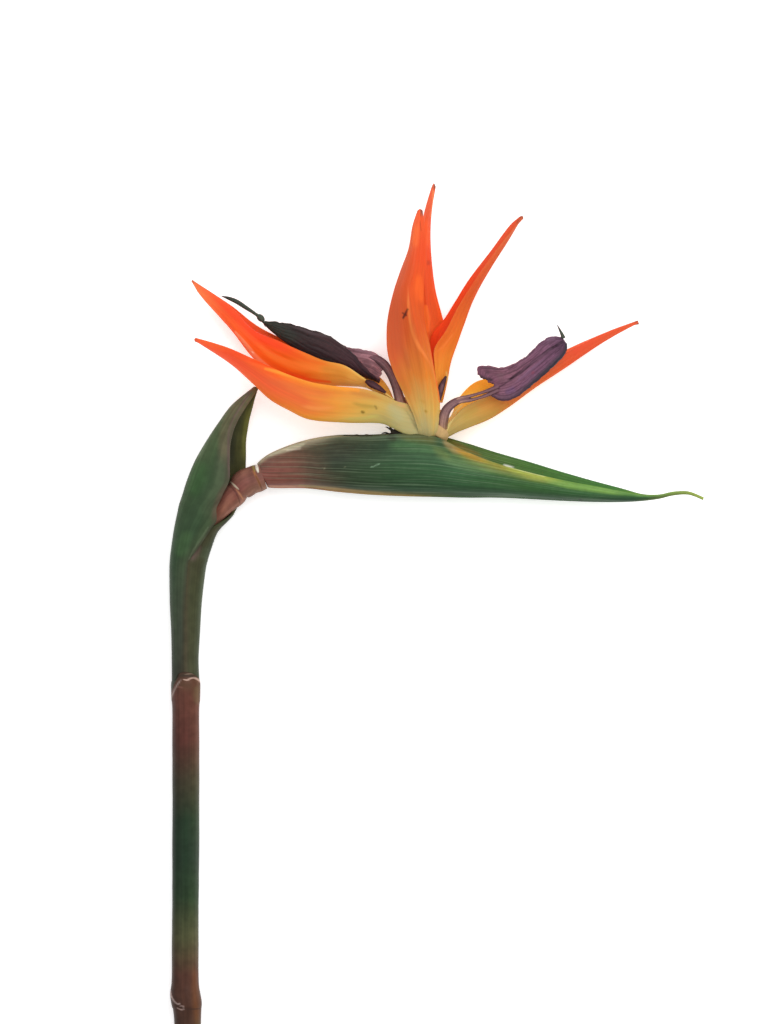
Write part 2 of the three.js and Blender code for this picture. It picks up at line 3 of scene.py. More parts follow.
import bpy
import numpy as np
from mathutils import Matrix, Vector


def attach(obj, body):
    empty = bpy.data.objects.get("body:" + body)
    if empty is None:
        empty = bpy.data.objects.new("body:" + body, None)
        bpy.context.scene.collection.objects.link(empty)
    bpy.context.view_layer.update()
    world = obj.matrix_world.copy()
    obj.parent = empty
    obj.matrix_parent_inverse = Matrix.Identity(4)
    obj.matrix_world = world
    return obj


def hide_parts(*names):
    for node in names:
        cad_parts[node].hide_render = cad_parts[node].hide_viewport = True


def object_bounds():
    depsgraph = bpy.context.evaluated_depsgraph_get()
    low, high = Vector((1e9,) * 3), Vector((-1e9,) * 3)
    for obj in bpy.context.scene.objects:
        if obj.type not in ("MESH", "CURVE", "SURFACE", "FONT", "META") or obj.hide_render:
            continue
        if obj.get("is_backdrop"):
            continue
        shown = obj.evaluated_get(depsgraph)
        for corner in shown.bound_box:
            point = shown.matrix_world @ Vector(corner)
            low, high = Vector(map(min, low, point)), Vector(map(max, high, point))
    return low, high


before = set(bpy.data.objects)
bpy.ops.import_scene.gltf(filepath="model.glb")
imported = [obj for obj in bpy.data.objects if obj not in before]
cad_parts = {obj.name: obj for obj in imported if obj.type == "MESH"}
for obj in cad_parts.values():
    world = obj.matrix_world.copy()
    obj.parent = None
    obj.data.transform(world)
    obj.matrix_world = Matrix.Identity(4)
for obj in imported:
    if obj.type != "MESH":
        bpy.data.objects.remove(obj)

bl_info = {
    "name": "Bird of Paradise Flower",
    "version": (1, 0, 0),
    "blender": (4, 5, 0),
    "location": "View3D > Sidebar > Flower",
    "description": "Dresses the packed bird of paradise flower with its fine stalk, leaves and petals",
    "category": "Add Mesh",
}

MM = 0.001
BODY = "root"
FLOWER_HEIGHT = 0.025  # metres

# ---------- the flower's lines, in millimetres on the frame's axes ----------

# How thick the blades are at most.
SEPAL_WALL = 1.0
TONGUE_WALL = 1.2
PETAL_WALL = 0.9
SHEATH_WALL = 1.0

# The sheath: how far its inner layer tucks in where it laps itself, and between which angles.
SHEATH_LAP = 1.35
TUCK_ANGLES = (170, 262)
# Its foot rises over the top of the stalk and dips at its left side, and is straight from this y on.
SHEATH_RISE = 3.2
SHEATH_DIP = 3.6
SHEATH_FOOT_END = -30
# Its free edges are thinner, in a narrow band, where it laps and above the neck.
EDGE_THINNING = 0.55
EDGE_BAND = 0.03
NECK_Y = (28, 31)
SHEATH_RADIUS = 7  # of the sheath's straightened place

# The spathe: the shape of a side from keel to lip, and how suddenly it turns in to the lip.
WALL_SHAPE = (0, 0.52, 0.8, 0.96, 1, 0.93, 0.76, 0.5)
LIP_POWER = 5
GROOVE_POWER = 2.2  # how flat the floor of the groove is
GROOVE_WAIST = 0.25  # how much narrower the groove is at its floor
# Its straightened place: how wide a side counts, how far off the groove lies, and how tall a side
# is at least, up to where the spathe is tallest.
SPATHE_GRAIN = 24
GROOVE_OFFSET = 40
LEAST_SIDE = 22
TALLEST_X = 92
# Where it lies across: the near side is 0 to 1, the groove is this, and the far side 2 to 3.
GROOVE_ACROSS = (1.2, 1.8)
NEAR_END = 1.1
FAR_START = 1.9

# The stalk from its cut foot to the spathe: x, y, height and radius.
STALK = [
    (0.8, -224.99, 6.2, 5.5), (0.8, -195, 6.2, 5.5), (0.75, -187, 6.2, 5.6), (0.6, -181, 6.2, 6),
    (0.4, -178.5, 6.2, 6.4), (-0.3, -174, 6.2, 6.35), (-0.3, -168, 6.2, 5.75), (-0.3, -150, 6.2, 5.6),
    (0, -100, 6.2, 5.7), (0, -58, 6.2, 5.7),
    (0, -50, 6.2, 6.1), (0, -44, 6.2, 6.2), (0, -42, 6.2, 5.8), (0, -40, 6.2, 5.4),
    (0, -36, 6.2, 5.2), (0, -32, 6.2, 4), (0, -17, 6.3, 3.9), (1, 4, 6.6, 4),
    (5.5, 15.5, 7.1, 4.2), (9.6, 24.4, 7.7, 4.3), (15.4, 31.3, 8.3, 4.7), (20.5, 36, 8.7, 5.2),
    (21.9, 37.8, 8.9, 4.8), (23.2, 39.1, 9, 5.7), (25.3, 40.8, 9.1, 6), (27.8, 42, 9.2, 5.7),
    (30.2, 42.8, 9.4, 5.8), (32.6, 43.6, 9.4, 5.3),
]

# The sheath from its foot to its tip: y, left edge, half width, half depth, height, the angles of
# its outer and its inner edge, and how much of its lap it has.
SHEATH = [
    (-41.8, -5.4, 5.3, 5.3, 6.2, 90, -272, 0.1), (-33, -5.5, 5.2, 5.4, 6.2, 90, -272, 0.1),
    (-22, -5.7, 5.6, 5.7, 6.2, 90, -272, 0.1), (-9, -6.3, 6.3, 6.1, 6.4, 90, -272, 0.1),
    (4, -6.45, 7.15, 6.3, 6.5, 91, -271, 0.1), (8, -6.3, 7.5, 6.3, 6.6, 92, -272, 0.15),
    (12, -5.9, 7.9, 6.4, 6.8, 107, -286, 1),
    (19, -4.9, 8.65, 6.6, 7.2, 128, -248, 1.25), (22, -4.4, 9.4, 6.75, 7.35, 129, -228, 1.2),
    (24.5, -3.9, 10.4, 6.9, 7.5, 127, -208, 1.1), (27.3, -3.3, 11.4, 7.1, 7.65, 116, -194, 0.5),
    (29.4, -2.85, 11.8, 7.2, 7.75, 110, -182, 0.2), (31.5, -2.4, 12.7, 7.3, 7.85, 105, -155, 0),
    (36, -0.9, 15.2, 7.4, 8, 95.5, -133, 0), (42, 1, 16.6, 7.5, 8.1, 93, -117, 0),
    (50, 4.3, 14.2, 6.8, 8.2, 91, -118, 0), (58, 8.9, 10.2, 5.6, 8.4, 90, -127, 0),
    (66, 14.2, 7.2, 4.1, 8.6, 91, -134, 0), (73.5, 19.9, 5.2, 2.7, 8.8, 100, -128, 0),
    (81, 29, 1.2, 0.9, 9, 115, -115, 0),
]

# The spathe from its foot to its tail: its keel, near lip and far lip in x and y, then the depth of
# a side, its height, half the opening between the lips and how deep the groove is.
SPATHE = [
    ((35.2, 40.4), (31.8, 47.4), (31.5, 47.8), 4.3, 9.4, 1.2, 0.2),
    ((34.6, 39), (30.6, 48.6), (30.2, 49.2), 5.6, 9.4, 1.8, 0.3),
    ((39, 38.6), (36.6, 53.2), (36.4, 53.8), 7.2, 9.5, 2.2, 0.4),
    ((51, 38.5), (50, 58), (50, 58.8), 8.6, 9.6, 2.6, 0.5),
    ((64, 37), (63.5, 60), (63.5, 61), 9.2, 9.8, 3, 0.5),
    ((78, 35.8), (77.5, 60.3), (77.5, 61.2), 9.4, 9.9, 3.6, 0.6),
    ((92, 35.2), (92, 61.5), (92, 61.9), 9.5, 9.8, 4.6, 0.8),
    ((105, 34.9), (105, 60.2), (105, 61.1), 9.5, 9.5, 4.8, 2),
    ((118, 34.6), (118, 54), (118, 57.7), 9.4, 9, 4.4, 4),
    ((131, 34.6), (131, 49), (131, 53.6), 8.8, 8.7, 3.8, 5),
    ((145, 34), (145, 45.1), (145, 49.6), 7.6, 8.7, 3.2, 4.2),
    ((158, 33.3), (158, 42.1), (158, 45.6), 6.3, 8.8, 2.6, 3.2),
    ((172, 32.8), (172, 39.5), (172, 41.6), 4.8, 8.9, 1.9, 2),
    ((184, 32.8), (184, 37.2), (184, 38.4), 3.2, 9, 1.1, 0.8),
    ((192, 33.2), (192, 35.8), (192, 36.2), 1.9, 9, 0.6, 0.2),
    ((199, 34.1), (199, 35.9), (199, 36), 1, 9, 0.4, 0.1),
    ((205, 35.5), (205, 37.1), (205, 37.2), 0.8, 9, 0.3, 0.1),
    ((211.5, 35.8), (211.5, 37.2), (211.5, 37.3), 0.7, 9, 0.3, 0.1),
    ((217.5, 33.6), (217.9, 34.7), (217.9, 34.8), 0.6, 9, 0.3, 0.1),
]

# The florets' feet from below: x, y, height, half width and half depth.
FEET = {
    "floret_1_base": [
        (95.2, 54, 9.6, 2.9, 2.9), (94.6, 60, 9.6, 3.9, 3.3), (93.2, 65, 9.6, 5.4, 3.8),
        (91.2, 71, 9.4, 5.4, 3.8), (90.2, 76.5, 9.2, 3.6, 3.2),
    ],
    "floret_2_base": [
        (103.2, 54, 9.6, 2.9, 3.1), (104.6, 59.8, 9.8, 4.4, 2.2), (105.6, 61.8, 10, 5.2, 4.9),
        (106.2, 65, 10.2, 4.8, 5), (106.2, 68.4, 10.2, 3.6, 4), (106, 71.6, 10.2, 2.4, 3),
    ],
}

# Each sepal is a blade of two margins and a keel, in x, y and height from its foot to its tip, with
# how much its halves swell out and how round its crease is.
SEPALS = {
    "floret_1_sepal_lower": {
        "near": [
            (99.5, 70.6, 15.6), (93.4, 73.8, 16.1), (88.5, 75.1, 17), (83, 77.7, 18.6),
            (75.5, 80, 20.5), (62, 81.5, 23), (52.5, 83, 24), (42.5, 86.5, 24.1),
            (33.5, 90.5, 23.6), (19, 97, 21.5), (4.4, 101.7, 17.5),
        ],
        "keel": [
            (104.5, 59.4, 10), (98.5, 60.4, 12.6), (92, 62, 14.2), (87, 64.4, 13.8),
            (83, 66.1, 13.4), (68, 66.5, 14.5), (51.5, 68, 16), (44, 71.5, 16.5), (36, 76, 17),
            (29, 82.5, 17), (20, 90.5, 16.5), (10.5, 96.9, 16.5), (3.8, 101, 17),
        ],
        "far": [
            (93, 68, 8.2), (87, 72, 8.8), (80, 75.4, 9.6), (72, 77, 10), (62, 78.5, 10.5),
            (52.5, 80.5, 11), (42.5, 84, 12), (33.5, 88.5, 13), (19, 95.5, 14.4), (4.4, 100, 16.3),
        ],
        "swell": 0.14,
        "crease": 1.25,
    },
    "floret_1_sepal_upper": {
        "near": [
            (88.3, 75.5, 12), (83, 79.2, 12.4), (76, 84, 13.6), (67, 90, 15), (58, 92.2, 15.6),
            (49, 96, 15.6), (39, 100.5, 15), (28.5, 105, 14), (19, 115, 13), (2.8, 126.2, 11.6),
        ],
        "keel": [
            (88, 73.3, 8), (83.5, 77, 8), (76, 81.3, 8.5), (67, 82, 9), (56.5, 82.5, 9),
            (44, 85, 9), (31, 91.5, 9), (19, 106, 9.5), (6.5, 120, 10.5), (2.6, 125.6, 11),
        ],
        "far": [
            (87.6, 75.5, 5.5), (85.2, 81, 4.6), (82, 85, 4), (76, 88.5, 4), (68, 91.5, 3.8),
            (58, 95, 3.5), (44, 100, 3), (30, 107, 3.5), (19, 115.5, 5), (2.8, 126, 10.2),
        ],
        "swell": 0.1,
        "crease": 1.3,
    },
    "floret_1_sepal_back": {
        "near": [
            (93.5, 72, 5), (94.5, 82, 3.8), (94.3, 105, 3.2), (95.5, 120, 3.6), (97.5, 135, 4.5),
            (99, 148, 5), (101, 157, 5.8), (103.5, 165.6, 6.7),
        ],
        "keel": [
            (96, 71.5, 6), (98.5, 80, 5.2), (101.5, 92, 4.8), (102.2, 104, 5.2),
            (100.8, 120, 6.6), (100, 134, 7.6), (100.7, 147, 7.8), (102.4, 158, 7.2),
            (104.4, 166.88, 7),
        ],
        "far": [
            (98.5, 72, 5), (104, 82, 3), (109, 95, 2.6), (109.8, 103, 2.8), (107.6, 112, 3.4),
            (105, 122, 4), (103.3, 135, 4.8), (102.8, 147, 5.2), (103.8, 158, 5.8),
            (105.2, 165.5, 6.7),
        ],
        "swell": 0.05,
        "crease": 1.3,
    },
    "floret_2_sepal_front": {
        "near": [
            (98.5, 59.3, 9), (97.9, 62.2, 15), (95.5, 69.8, 17.6), (92, 77.5, 17.2),
            (87.5, 87, 17.2), (85, 95, 17.5), (84.5, 102, 18), (85, 110, 18), (87.5, 121, 18),
            (90.3, 129.5, 18), (93.8, 139, 17.5), (95.5, 149, 17), (97.4, 155, 16.5),
        ],
        "keel": [
            (102.4, 58.9, 9), (102.2, 61.8, 15.6), (101.2, 75, 20.6), (99.8, 87, 21.8),
            (97.3, 99, 22.5), (94, 114, 22.5), (93.3, 122, 22), (95.2, 130, 21.3),
            (97.2, 145, 19), (98.5, 155.7, 16.9),
        ],
        "far": [
            (105.6, 59.3, 9), (105.8, 62, 14.6), (106.5, 68, 16.6), (106.8, 74, 17),
            (105.8, 81.5, 17.2), (104.6, 87, 17.2), (102.5, 98.5, 17.6), (100.2, 110, 18),
            (100, 124, 18), (100.6, 134.5, 17.8), (100.4, 145, 17.2), (99.6, 155, 16.5),
        ],
        "swell": 0.1,
        "crease": 1.3,
    },
    "floret_2_sepal_upper": {
        "near": [
            (106.6, 75, 12.6), (105.4, 83, 13.4), (104.6, 90, 14), (104.6, 97, 14.5),
            (109.5, 104.8, 15), (114.5, 114.5, 15), (120.5, 124, 15), (126.2, 132.5, 14),
            (136.5, 146, 13), (142, 152, 11.8),
        ],
        "keel": [
            (107.6, 74.5, 10.5), (109.6, 83, 10.5), (111.3, 92, 10.8), (114.5, 101, 11),
            (120.5, 117.5, 11.5), (127.5, 130.5, 11.5), (136.6, 144.8, 11), (141.6, 153, 10.8),
        ],
        "far": [
            (105, 75, 8), (103.2, 88, 7.4), (103, 96.5, 7.3), (103.8, 103.5, 7.3),
            (108.5, 109.3, 7.2), (114, 118, 7.5), (119, 126, 8), (128.5, 138.5, 9),
            (136.8, 149.6, 9.6), (140.3, 152.6, 10.2),
        ],
        "swell": 0.08,
        "crease": 1.25,
    },
    "floret_2_sepal_right": {
        "near": [
            (104.5, 62, 13.4), (110.6, 66, 14), (113.8, 69.5, 14), (117.5, 72.8, 14),
            (128, 77.5, 14), (140.5, 82.5, 14), (151, 89.5, 14), (160, 95.5, 13.5),
            (175.5, 103.5, 12.2), (190, 109.1, 10.9),
        ],
        "keel": [
            (104.5, 57.5, 10), (110, 60.4, 10), (114, 62.5, 9.5), (119, 64.5, 9.3),
            (127.5, 68, 9), (135.5, 73, 9), (146.5, 81, 9), (160, 90, 9.5), (177.5, 101.6, 10),
            (190.4, 108.3, 10.3),
        ],
        "far": [
            (105, 66, 6.6), (110.8, 68, 6), (115, 76.5, 4.2), (121.5, 83, 3.6), (130, 85.5, 3.5),
            (140.5, 88.5, 3.6), (151, 92.8, 4), (160.5, 97, 4.6), (168, 100.4, 5.4),
            (184, 106.6, 8), (190.6, 107.5, 9.6),
        ],
        "swell": 0.1,
        "crease": 1.5,
    },
}

# The tongues are blades too. Each strand of a stalk is x, y, height, half width and half depth.
TONGUES = {
    "floret_1_tongue": {
        "near": [
            (81.5, 83.4, 11.6), (78.5, 86.5, 12.2), (75, 89.8, 12.5), (71.5, 94, 12.4),
            (67, 98, 12), (59.5, 103, 11.5), (52.5, 105.2, 11), (45.5, 107.3, 10.6),
            (39, 108.3, 10.6), (33.4, 108.8, 10.4),
        ],
        "keel": [
            (81.2, 84, 8.7), (74, 86.3, 8.8), (66, 88.2, 9), (59, 91, 9), (52, 94, 9),
            (44, 99, 9), (37, 104.4, 9), (33.3, 107.8, 9.2),
        ],
        "far": [
            (83.4, 90, 7.8), (82.4, 93.6, 7), (79.4, 95.7, 6.4), (74.5, 96.9, 6.1),
            (69.3, 97.7, 6), (65, 99, 6), (58, 102, 6), (50, 105, 6.4), (41, 107.2, 7.2),
            (33.4, 108.2, 7.8),
        ],
        "swell": 0.12,
        "crease": 1.2,
        "stalks": [
            [(90.7, 70.5, 12.6, 2.5, 1.2), (90.4, 73.6, 12.8, 2.4, 1.2), (89.4, 78.1, 11.6, 2, 1),
             (87.8, 83.2, 10, 1.9, 0.9), (85.8, 87.4, 9, 1.85, 0.9), (83.2, 90.9, 8, 1.9, 0.8),
             (80.2, 93, 7, 1.6, 0.6), (76, 94.2, 6.2, 0.9, 0.4)],
        ],
    },
    "floret_2_tongue": {
        "near": [
            (128.2, 77.2, 18.4), (133, 75.4, 18), (137.5, 76.2, 17.8), (142, 79, 17.8),
            (150, 85.8, 17.8), (155.8, 91, 18), (159.6, 95.6, 18.2), (159.9, 99, 18.6),
        ],
        "keel": [
            (130, 81.8, 18.8), (137, 84.8, 19), (143.5, 89.8, 19.2), (150, 94.6, 19.2),
            (155, 98.2, 19), (159.2, 100.2, 18.8),
        ],
        "far": [
            (122.8, 86, 18.2), (122.9, 89.3, 18), (127, 89.8, 17.8), (132, 89, 17.8),
            (137, 90.2, 17.8), (143.5, 94.2, 17.8), (149, 99.6, 18), (153.5, 102, 18.2),
            (158.2, 101.8, 18.6),
        ],
        "swell": -0.42,
        "crease": 1,
        "stalks": [
            [(107.9, 63.8, 13, 2.2, 1), (108.2, 67, 16, 2.2, 0.9), (109.5, 71.2, 18, 2, 0.8),
             (112.2, 74, 18.6, 1.75, 0.75), (115.3, 75.5, 18.6, 1.45, 0.7),
             (118.2, 76, 18.5, 1, 0.6), (120, 76.1, 18.3, 0.3, 0.3)],
            [(112.5, 75, 18.6, 0.5, 0.5), (115.3, 76.3, 18.8, 0.7, 0.6),
             (118.7, 77, 18.8, 0.7, 0.6), (123.3, 78.3, 18.8, 0.6, 0.6),
             (127.5, 79.7, 18.7, 0.8, 0.6), (131.5, 81.4, 18.3, 0.9, 0.6)],
            [(113, 73.8, 18.6, 0.5, 0.5), (115.9, 74.9, 18.7, 0.75, 0.6),
             (119.5, 75.5, 18.7, 0.75, 0.6), (123.7, 76.6, 18.7, 0.65, 0.6),
             (127.5, 78, 18.7, 0.8, 0.6), (131.5, 79.8, 18.3, 0.9, 0.6)],
        ],
    },
}

# The short petals at the tongues' feet, blades with a plain fold.
SMALL_PETALS = {
    "floret_1_small_petal": {
        "near": [(84.4, 78.9, 14.6), (81.4, 81.9, 14.8), (78.4, 83.7, 15), (75.8, 84, 15)],
        "keel": [(84.2, 78.7, 14.2), (80.8, 81, 14.4), (78, 82.4, 14.6), (75.6, 83.6, 14.7)],
        "far": [(83.9, 78.5, 13.9), (80.4, 79.8, 14), (77.2, 81.3, 14.2), (75.4, 83.2, 14.4)],
    },
    "floret_2_small_petal": {
        "near": [(106.6, 75.4, 14.2), (105.9, 79.4, 14.3), (107, 82.9, 14.3), (109.1, 85.5, 14.2)],
        "keel": [(106.9, 75.3, 14.4), (107.1, 79.3, 14.6), (108.1, 82.5, 14.6), (109.4, 85.6, 14.4)],
        "far": [(107.2, 75.4, 14.2), (108.3, 79.2, 14.3), (109.1, 82.2, 14.3), (109.7, 85.4, 14.2)],
    },
}

# The thread at each tongue's tip, with its knob: x, y, height, half width and half depth.
STYLES = {
    "floret_1_style": [
        (34, 106.9, 9.3, 0.75, 0.6), (32.8, 108.5, 9.3, 0.6, 0.6), (32.3, 109.3, 9.4, 1.15, 1),
        (31.5, 110.2, 9.4, 1.42, 1.2), (30.7, 110.9, 9.4, 1.15, 1), (30, 111.4, 9.4, 0.7, 0.6),
        (28, 112.8, 9.4, 0.72, 0.6), (25.7, 114.3, 9.4, 0.85, 0.6), (21.5, 117, 9.3, 0.95, 0.6),
        (18, 118.5, 9.2, 0.7, 0.5), (15, 119.4, 9.1, 0.12, 0.15),
    ],
    "floret_2_style": [
        (158.7, 101.4, 18.9, 0.85, 0.7), (158.2, 102.6, 19, 0.75, 0.6), (157.3, 104.5, 19, 0.5, 0.4),
        (156, 107, 19, 0.12, 0.15),
    ],
}

# The dried shreds on the spathe's upper edge, each a small rod like the threads.
SCRAPS = [
    [(92, 60.8, 12, 0.8, 0.3), (90, 61.3, 12, 1.5, 0.35), (88.2, 61.9, 12, 1.6, 0.35),
     (86.9, 62.3, 12, 1.1, 0.3), (86.2, 62.6, 12, 0.3, 0.15)],
    [(87.5, 62.2, 12, 0.7, 0.3), (86.4, 63.5, 12.2, 0.45, 0.25), (85.5, 64.8, 12.4, 0.12, 0.1)],
    [(84, 64.3, 12, 0.1, 0.1), (84.8, 64.1, 12.1, 0.3, 0.2), (85.8, 63.4, 12.2, 0.35, 0.2),
     (86.6, 62.6, 12, 0.3, 0.2)],
    [(82.3, 61.6, 11, 0.15, 0.1), (84, 61.9, 11, 0.35, 0.2), (85.5, 61.5, 11, 0.35, 0.2),
     (87, 61.4, 11.4, 0.4, 0.3)],
    [(66, 60.6, 10.5, 0.1, 0.1), (68, 60.9, 10.5, 0.25, 0.2), (70, 60.6, 10.5, 0.12, 0.1),
     (72, 61, 10.5, 0.3, 0.2), (74, 60.6, 10.5, 0.1, 0.1), (76, 61.1, 10.5, 0.25, 0.2),
     (78.5, 60.6, 10.5, 0.1, 0.1)],
]

# How finely the shreds are made, and the straightened radius of rods, stalk and feet.
SCRAP_STEPS = 24
SCRAP_SIDES = 12
THREAD_RADIUS = 1.5
STRAND_RADIUS = 3.0
FOOT_RADIUS = 4.5
STALK_RADIUS = 6.0
FOOT_SLIM = 0.97  # how much slimmer the feet are than their lines
BLADE_GRAIN = 12.0  # how wide half a blade counts in its straightened place

# ---------- colours ----------

# Bands of colour: each is a place across the piece, and colours by their share of its length from
# the foot to the tip. Blades and rods lie from -1 to 1 across, the sheath from 0 to 1.
SEPAL_BANDS = {
    "floret_1_sepal_lower": [
        (-1.0, [(0, "b0a068"), (0.2, "c9a052"), (0.34, "e59340"), (0.5, "fa8a2c"), (0.62, "fb6a22"),
                (0.8, "fb5a26"), (1, "fa6a38")]),
        (-0.55, [(0, "b0a478"), (0.14, "bcaa6a"), (0.26, "d8ac50"), (0.38, "f09c3e"), (0.5, "f0743a"),
                 (0.66, "f06034"), (0.84, "ff542c"), (1, "ff6434")]),
        (0.0, [(0, "bab384"), (0.2, "ccba70"), (0.33, "eac060"), (0.46, "ffa23a"), (0.62, "ff8230"),
               (0.8, "fb6030"), (1, "fb5f36")]),
    ],
    "floret_1_sepal_upper": [
        (-1.0, [(0, "f8d884"), (0.12, "f6d070"), (0.24, "f0b452"), (0.36, "f08a30"), (0.46, "f46a24"),
                (0.6, "f5562a"), (0.9, "fb6436"), (1, "f47848")]),
        (-0.3, [(0, "f0cc74"), (0.16, "f0c468"), (0.27, "eca848"), (0.38, "f88c2c"), (0.5, "f8701c"),
                (0.8, "f85c28"), (0.92, "ff7c44"), (1, "f87a48")]),
        (0.6, [(0, "f0b048"), (0.15, "f09a34"), (0.3, "f08b2c"), (0.6, "ee6a28"), (1, "f5652e")]),
    ],
    "floret_1_sepal_back": [
        (-1.0, [(0, "f0932e"), (0.3, "ea6a25"), (0.6, "ec5a2a"), (1, "f0653c")]),
        (0.1, [(0, "ef8a2c"), (0.25, "e26725"), (0.5, "e85a28"), (0.8, "e85a33"), (1, "e86a48")]),
        (0.8, [(0, "ea7a26"), (0.4, "e65a20"), (0.7, "e8502a"), (1, "ec6035")]),
    ],
    "floret_2_sepal_front": [
        (-0.9, [(0, "aaa07c"), (0.1, "baa76c"), (0.18, "cc9e50"), (0.29, "cc7a2f"), (0.4, "d66030"),
                (0.55, "c8562e"), (0.75, "cf6040"), (0.9, "e0643a"), (1, "f36842")]),
        (-0.15, [(0, "b2a87c"), (0.1, "c0ac70"), (0.17, "d0a858"), (0.31, "d47a2c"), (0.5, "cc5620"),
                 (0.8, "e0562c"), (1, "f2663c")]),
        (0.3, [(0, "b8aa7a"), (0.1, "c6ac68"), (0.18, "d8a852"), (0.31, "e2822c"), (0.5, "dc5c22"),
               (0.8, "ea5426"), (1, "ed5b2d")]),
    ],
    "floret_2_sepal_upper": [
        (-1.0, [(0, "e8a040"), (0.16, "ef9232"), (0.3, "ea7027"), (0.6, "de5a28"), (1, "d76437")]),
        (-0.2, [(0, "e0902f"), (0.3, "ea7627"), (0.45, "e26528"), (0.6, "dc5827"), (1, "d9602f")]),
        (0.7, [(0, "e0602a"), (0.25, "f0481a"), (0.55, "ea481c"), (0.75, "e0502a"), (1, "d85535")]),
    ],
    "floret_2_sepal_right": [
        (-1.0, [(0, "c4ac6c"), (0.16, "cba55a"), (0.3, "dc9040"), (0.42, "ea7034"), (0.7, "eb5436"),
                (1, "ec6138")]),
        (-0.2, [(0, "bda86a"), (0.16, "c8a458"), (0.26, "cf9a48"), (0.4, "e8742e"), (0.7, "ee5830"),
                (1, "ec6138")]),
        (0.6, [(0, "d8b868"), (0.14, "fbc458"), (0.28, "ffb232"), (0.42, "ffa030"), (0.6, "f0652d"),
               (1, "e95a30")]),
    ],
}

# Where along each sepal its dry tip starts.
DRY_SHARE = {**dict.fromkeys(SEPALS, 0.985), "floret_1_sepal_back": 0.99}

# Across the stalk its left side (-1) is painted darker as shade and its right side (0.9) lighter as
# light falling from the right.
STEM_BANDS = [
    (-1.0, [(0, "36231c"), (0.156, "38251d"), (0.22, "3c271f"), (0.274, "393824"), (0.337, "1d2c1b"),
            (0.4, "18261a"), (0.46, "18261a"), (0.524, "2c281d"), (0.586, "42251f"), (0.649, "4c2c25"),
            (0.7, "47332a"), (0.9, "6a4538"), (0.955, "744c42"), (1, "7d5648")]),
    (0.0, [(0, "442d23"), (0.156, "462e24"), (0.22, "4e3127"), (0.274, "48492f"), (0.337, "263823"),
           (0.4, "213424"), (0.46, "213322"), (0.524, "3c3527"), (0.586, "552f28"), (0.649, "60392f"),
           (0.7, "573b2d"), (0.9, "7a5044"), (0.945, "83523f"), (0.975, "78433c"), (1, "80544a")]),
    (0.9, [(0, "533a2d"), (0.156, "553b2e"), (0.22, "5c3c2f"), (0.274, "565338"), (0.337, "33452c"),
           (0.4, "324031"), (0.46, "34442f"), (0.524, "4c4632"), (0.586, "633f33"), (0.649, "6a4235"),
           (0.7, "60452f"), (0.9, "845a48"), (0.955, "8a5c4c"), (1, "8a6350")]),
]

SHEATH_BANDS = [
    (0.0, [(0, "423c2c"), (0.3, "404030"), (0.45, "424534"), (0.6, "4a4a3a"), (0.85, "575040"),
           (1, "6d5f42")]),
    (0.06, [(0, "33342a"), (0.2, "3a4134"), (0.5, "3d4d34"), (0.8, "4c5640"), (1, "66603f")]),
    (0.14, [(0, "2e3229"), (0.2, "364030"), (0.45, "31452f"), (0.7, "3c5035"), (0.9, "4c593c"),
            (1, "626047")]),
    (0.75, [(0, "404733"), (0.3, "475238"), (0.45, "3c4530"), (0.6, "414632"), (1, "4a4c34")]),
    (0.93, [(0, "454631"), (0.3, "40432c"), (0.45, "403f2b"), (0.6, "404029"), (1, "5a5a30")]),
    (1.0, [(0, "454030"), (0.3, "46402f"), (0.45, "44412c"), (0.6, "4c4c2a"), (1, "6a6a38")]),
]

SPATHE_BANDS = [
    (0.0, [(0, "8a5c50"), (0.14, "96664e"), (0.26, "8d7a4a"), (0.45, "36502e"), (0.8, "284428"),
           (1, "9caa56")]),
    (0.1, [(0, "82493f"), (0.1, "74473b"), (0.15, "524434"), (0.22, "303e2a"), (0.35, "2a462c"),
           (0.6, "28482a"), (0.85, "244428"), (1, "8fa050")]),
    (0.5, [(0, "844c44"), (0.09, "744a3f"), (0.13, "584638"), (0.18, "343c2d"), (0.3, "345034"),
           (0.45, "3b603e"), (0.6, "385c31"), (0.75, "345c34"), (0.88, "2a4c2c"), (1, "9cac50")]),
    (0.85, [(0, "7d5850"), (0.09, "6d5244"), (0.15, "4a4638"), (0.24, "343e30"), (0.35, "36503a"),
            (0.5, "44633a"), (0.7, "4a7434"), (0.88, "50803c"), (1, "a0b050")]),
    (1.05, [(0, "a09078"), (0.12, "a8a088"), (0.2, "59604a"), (0.4, "42543a"), (0.6, "5a763a"),
            (0.8, "64903f"), (1, "a0b050")]),
    (1.35, [(0, "a89c80"), (0.14, "a8a68a"), (0.24, "3c4630"), (0.38, "5a5c2c"), (0.46, "6a6a30"),
            (0.6, "4c7030"), (0.8, "467a36"), (1, "a0b050")]),
    (1.8, [(0, "a89c80"), (0.14, "a0a084"), (0.24, "3c4630"), (0.38, "55602c"), (0.6, "48702f"),
           (0.8, "467a38"), (1, "a0b050")]),
    (2.1, [(0, "7a5a4c"), (0.14, "6a6c54"), (0.22, "343e2c"), (0.5, "42643a"), (0.88, "46763c"),
           (1, "9caa56")]),
]

SCRAP_BANDS = [(-1.0, [(0, "2c261a"), (0.6, "2a221a"), (1, "3c3022")])]

FOOT_BANDS = [
    (-1.0, [(0, "8c7c48"), (0.3, "b49a68"), (0.8, "c0a070"), (1, "d0a878")]),
    (0.5, [(0, "8c7c48"), (0.25, "c0a26c"), (0.6, "d0a874"), (0.8, "d8b078"), (1, "e0b084")]),
]

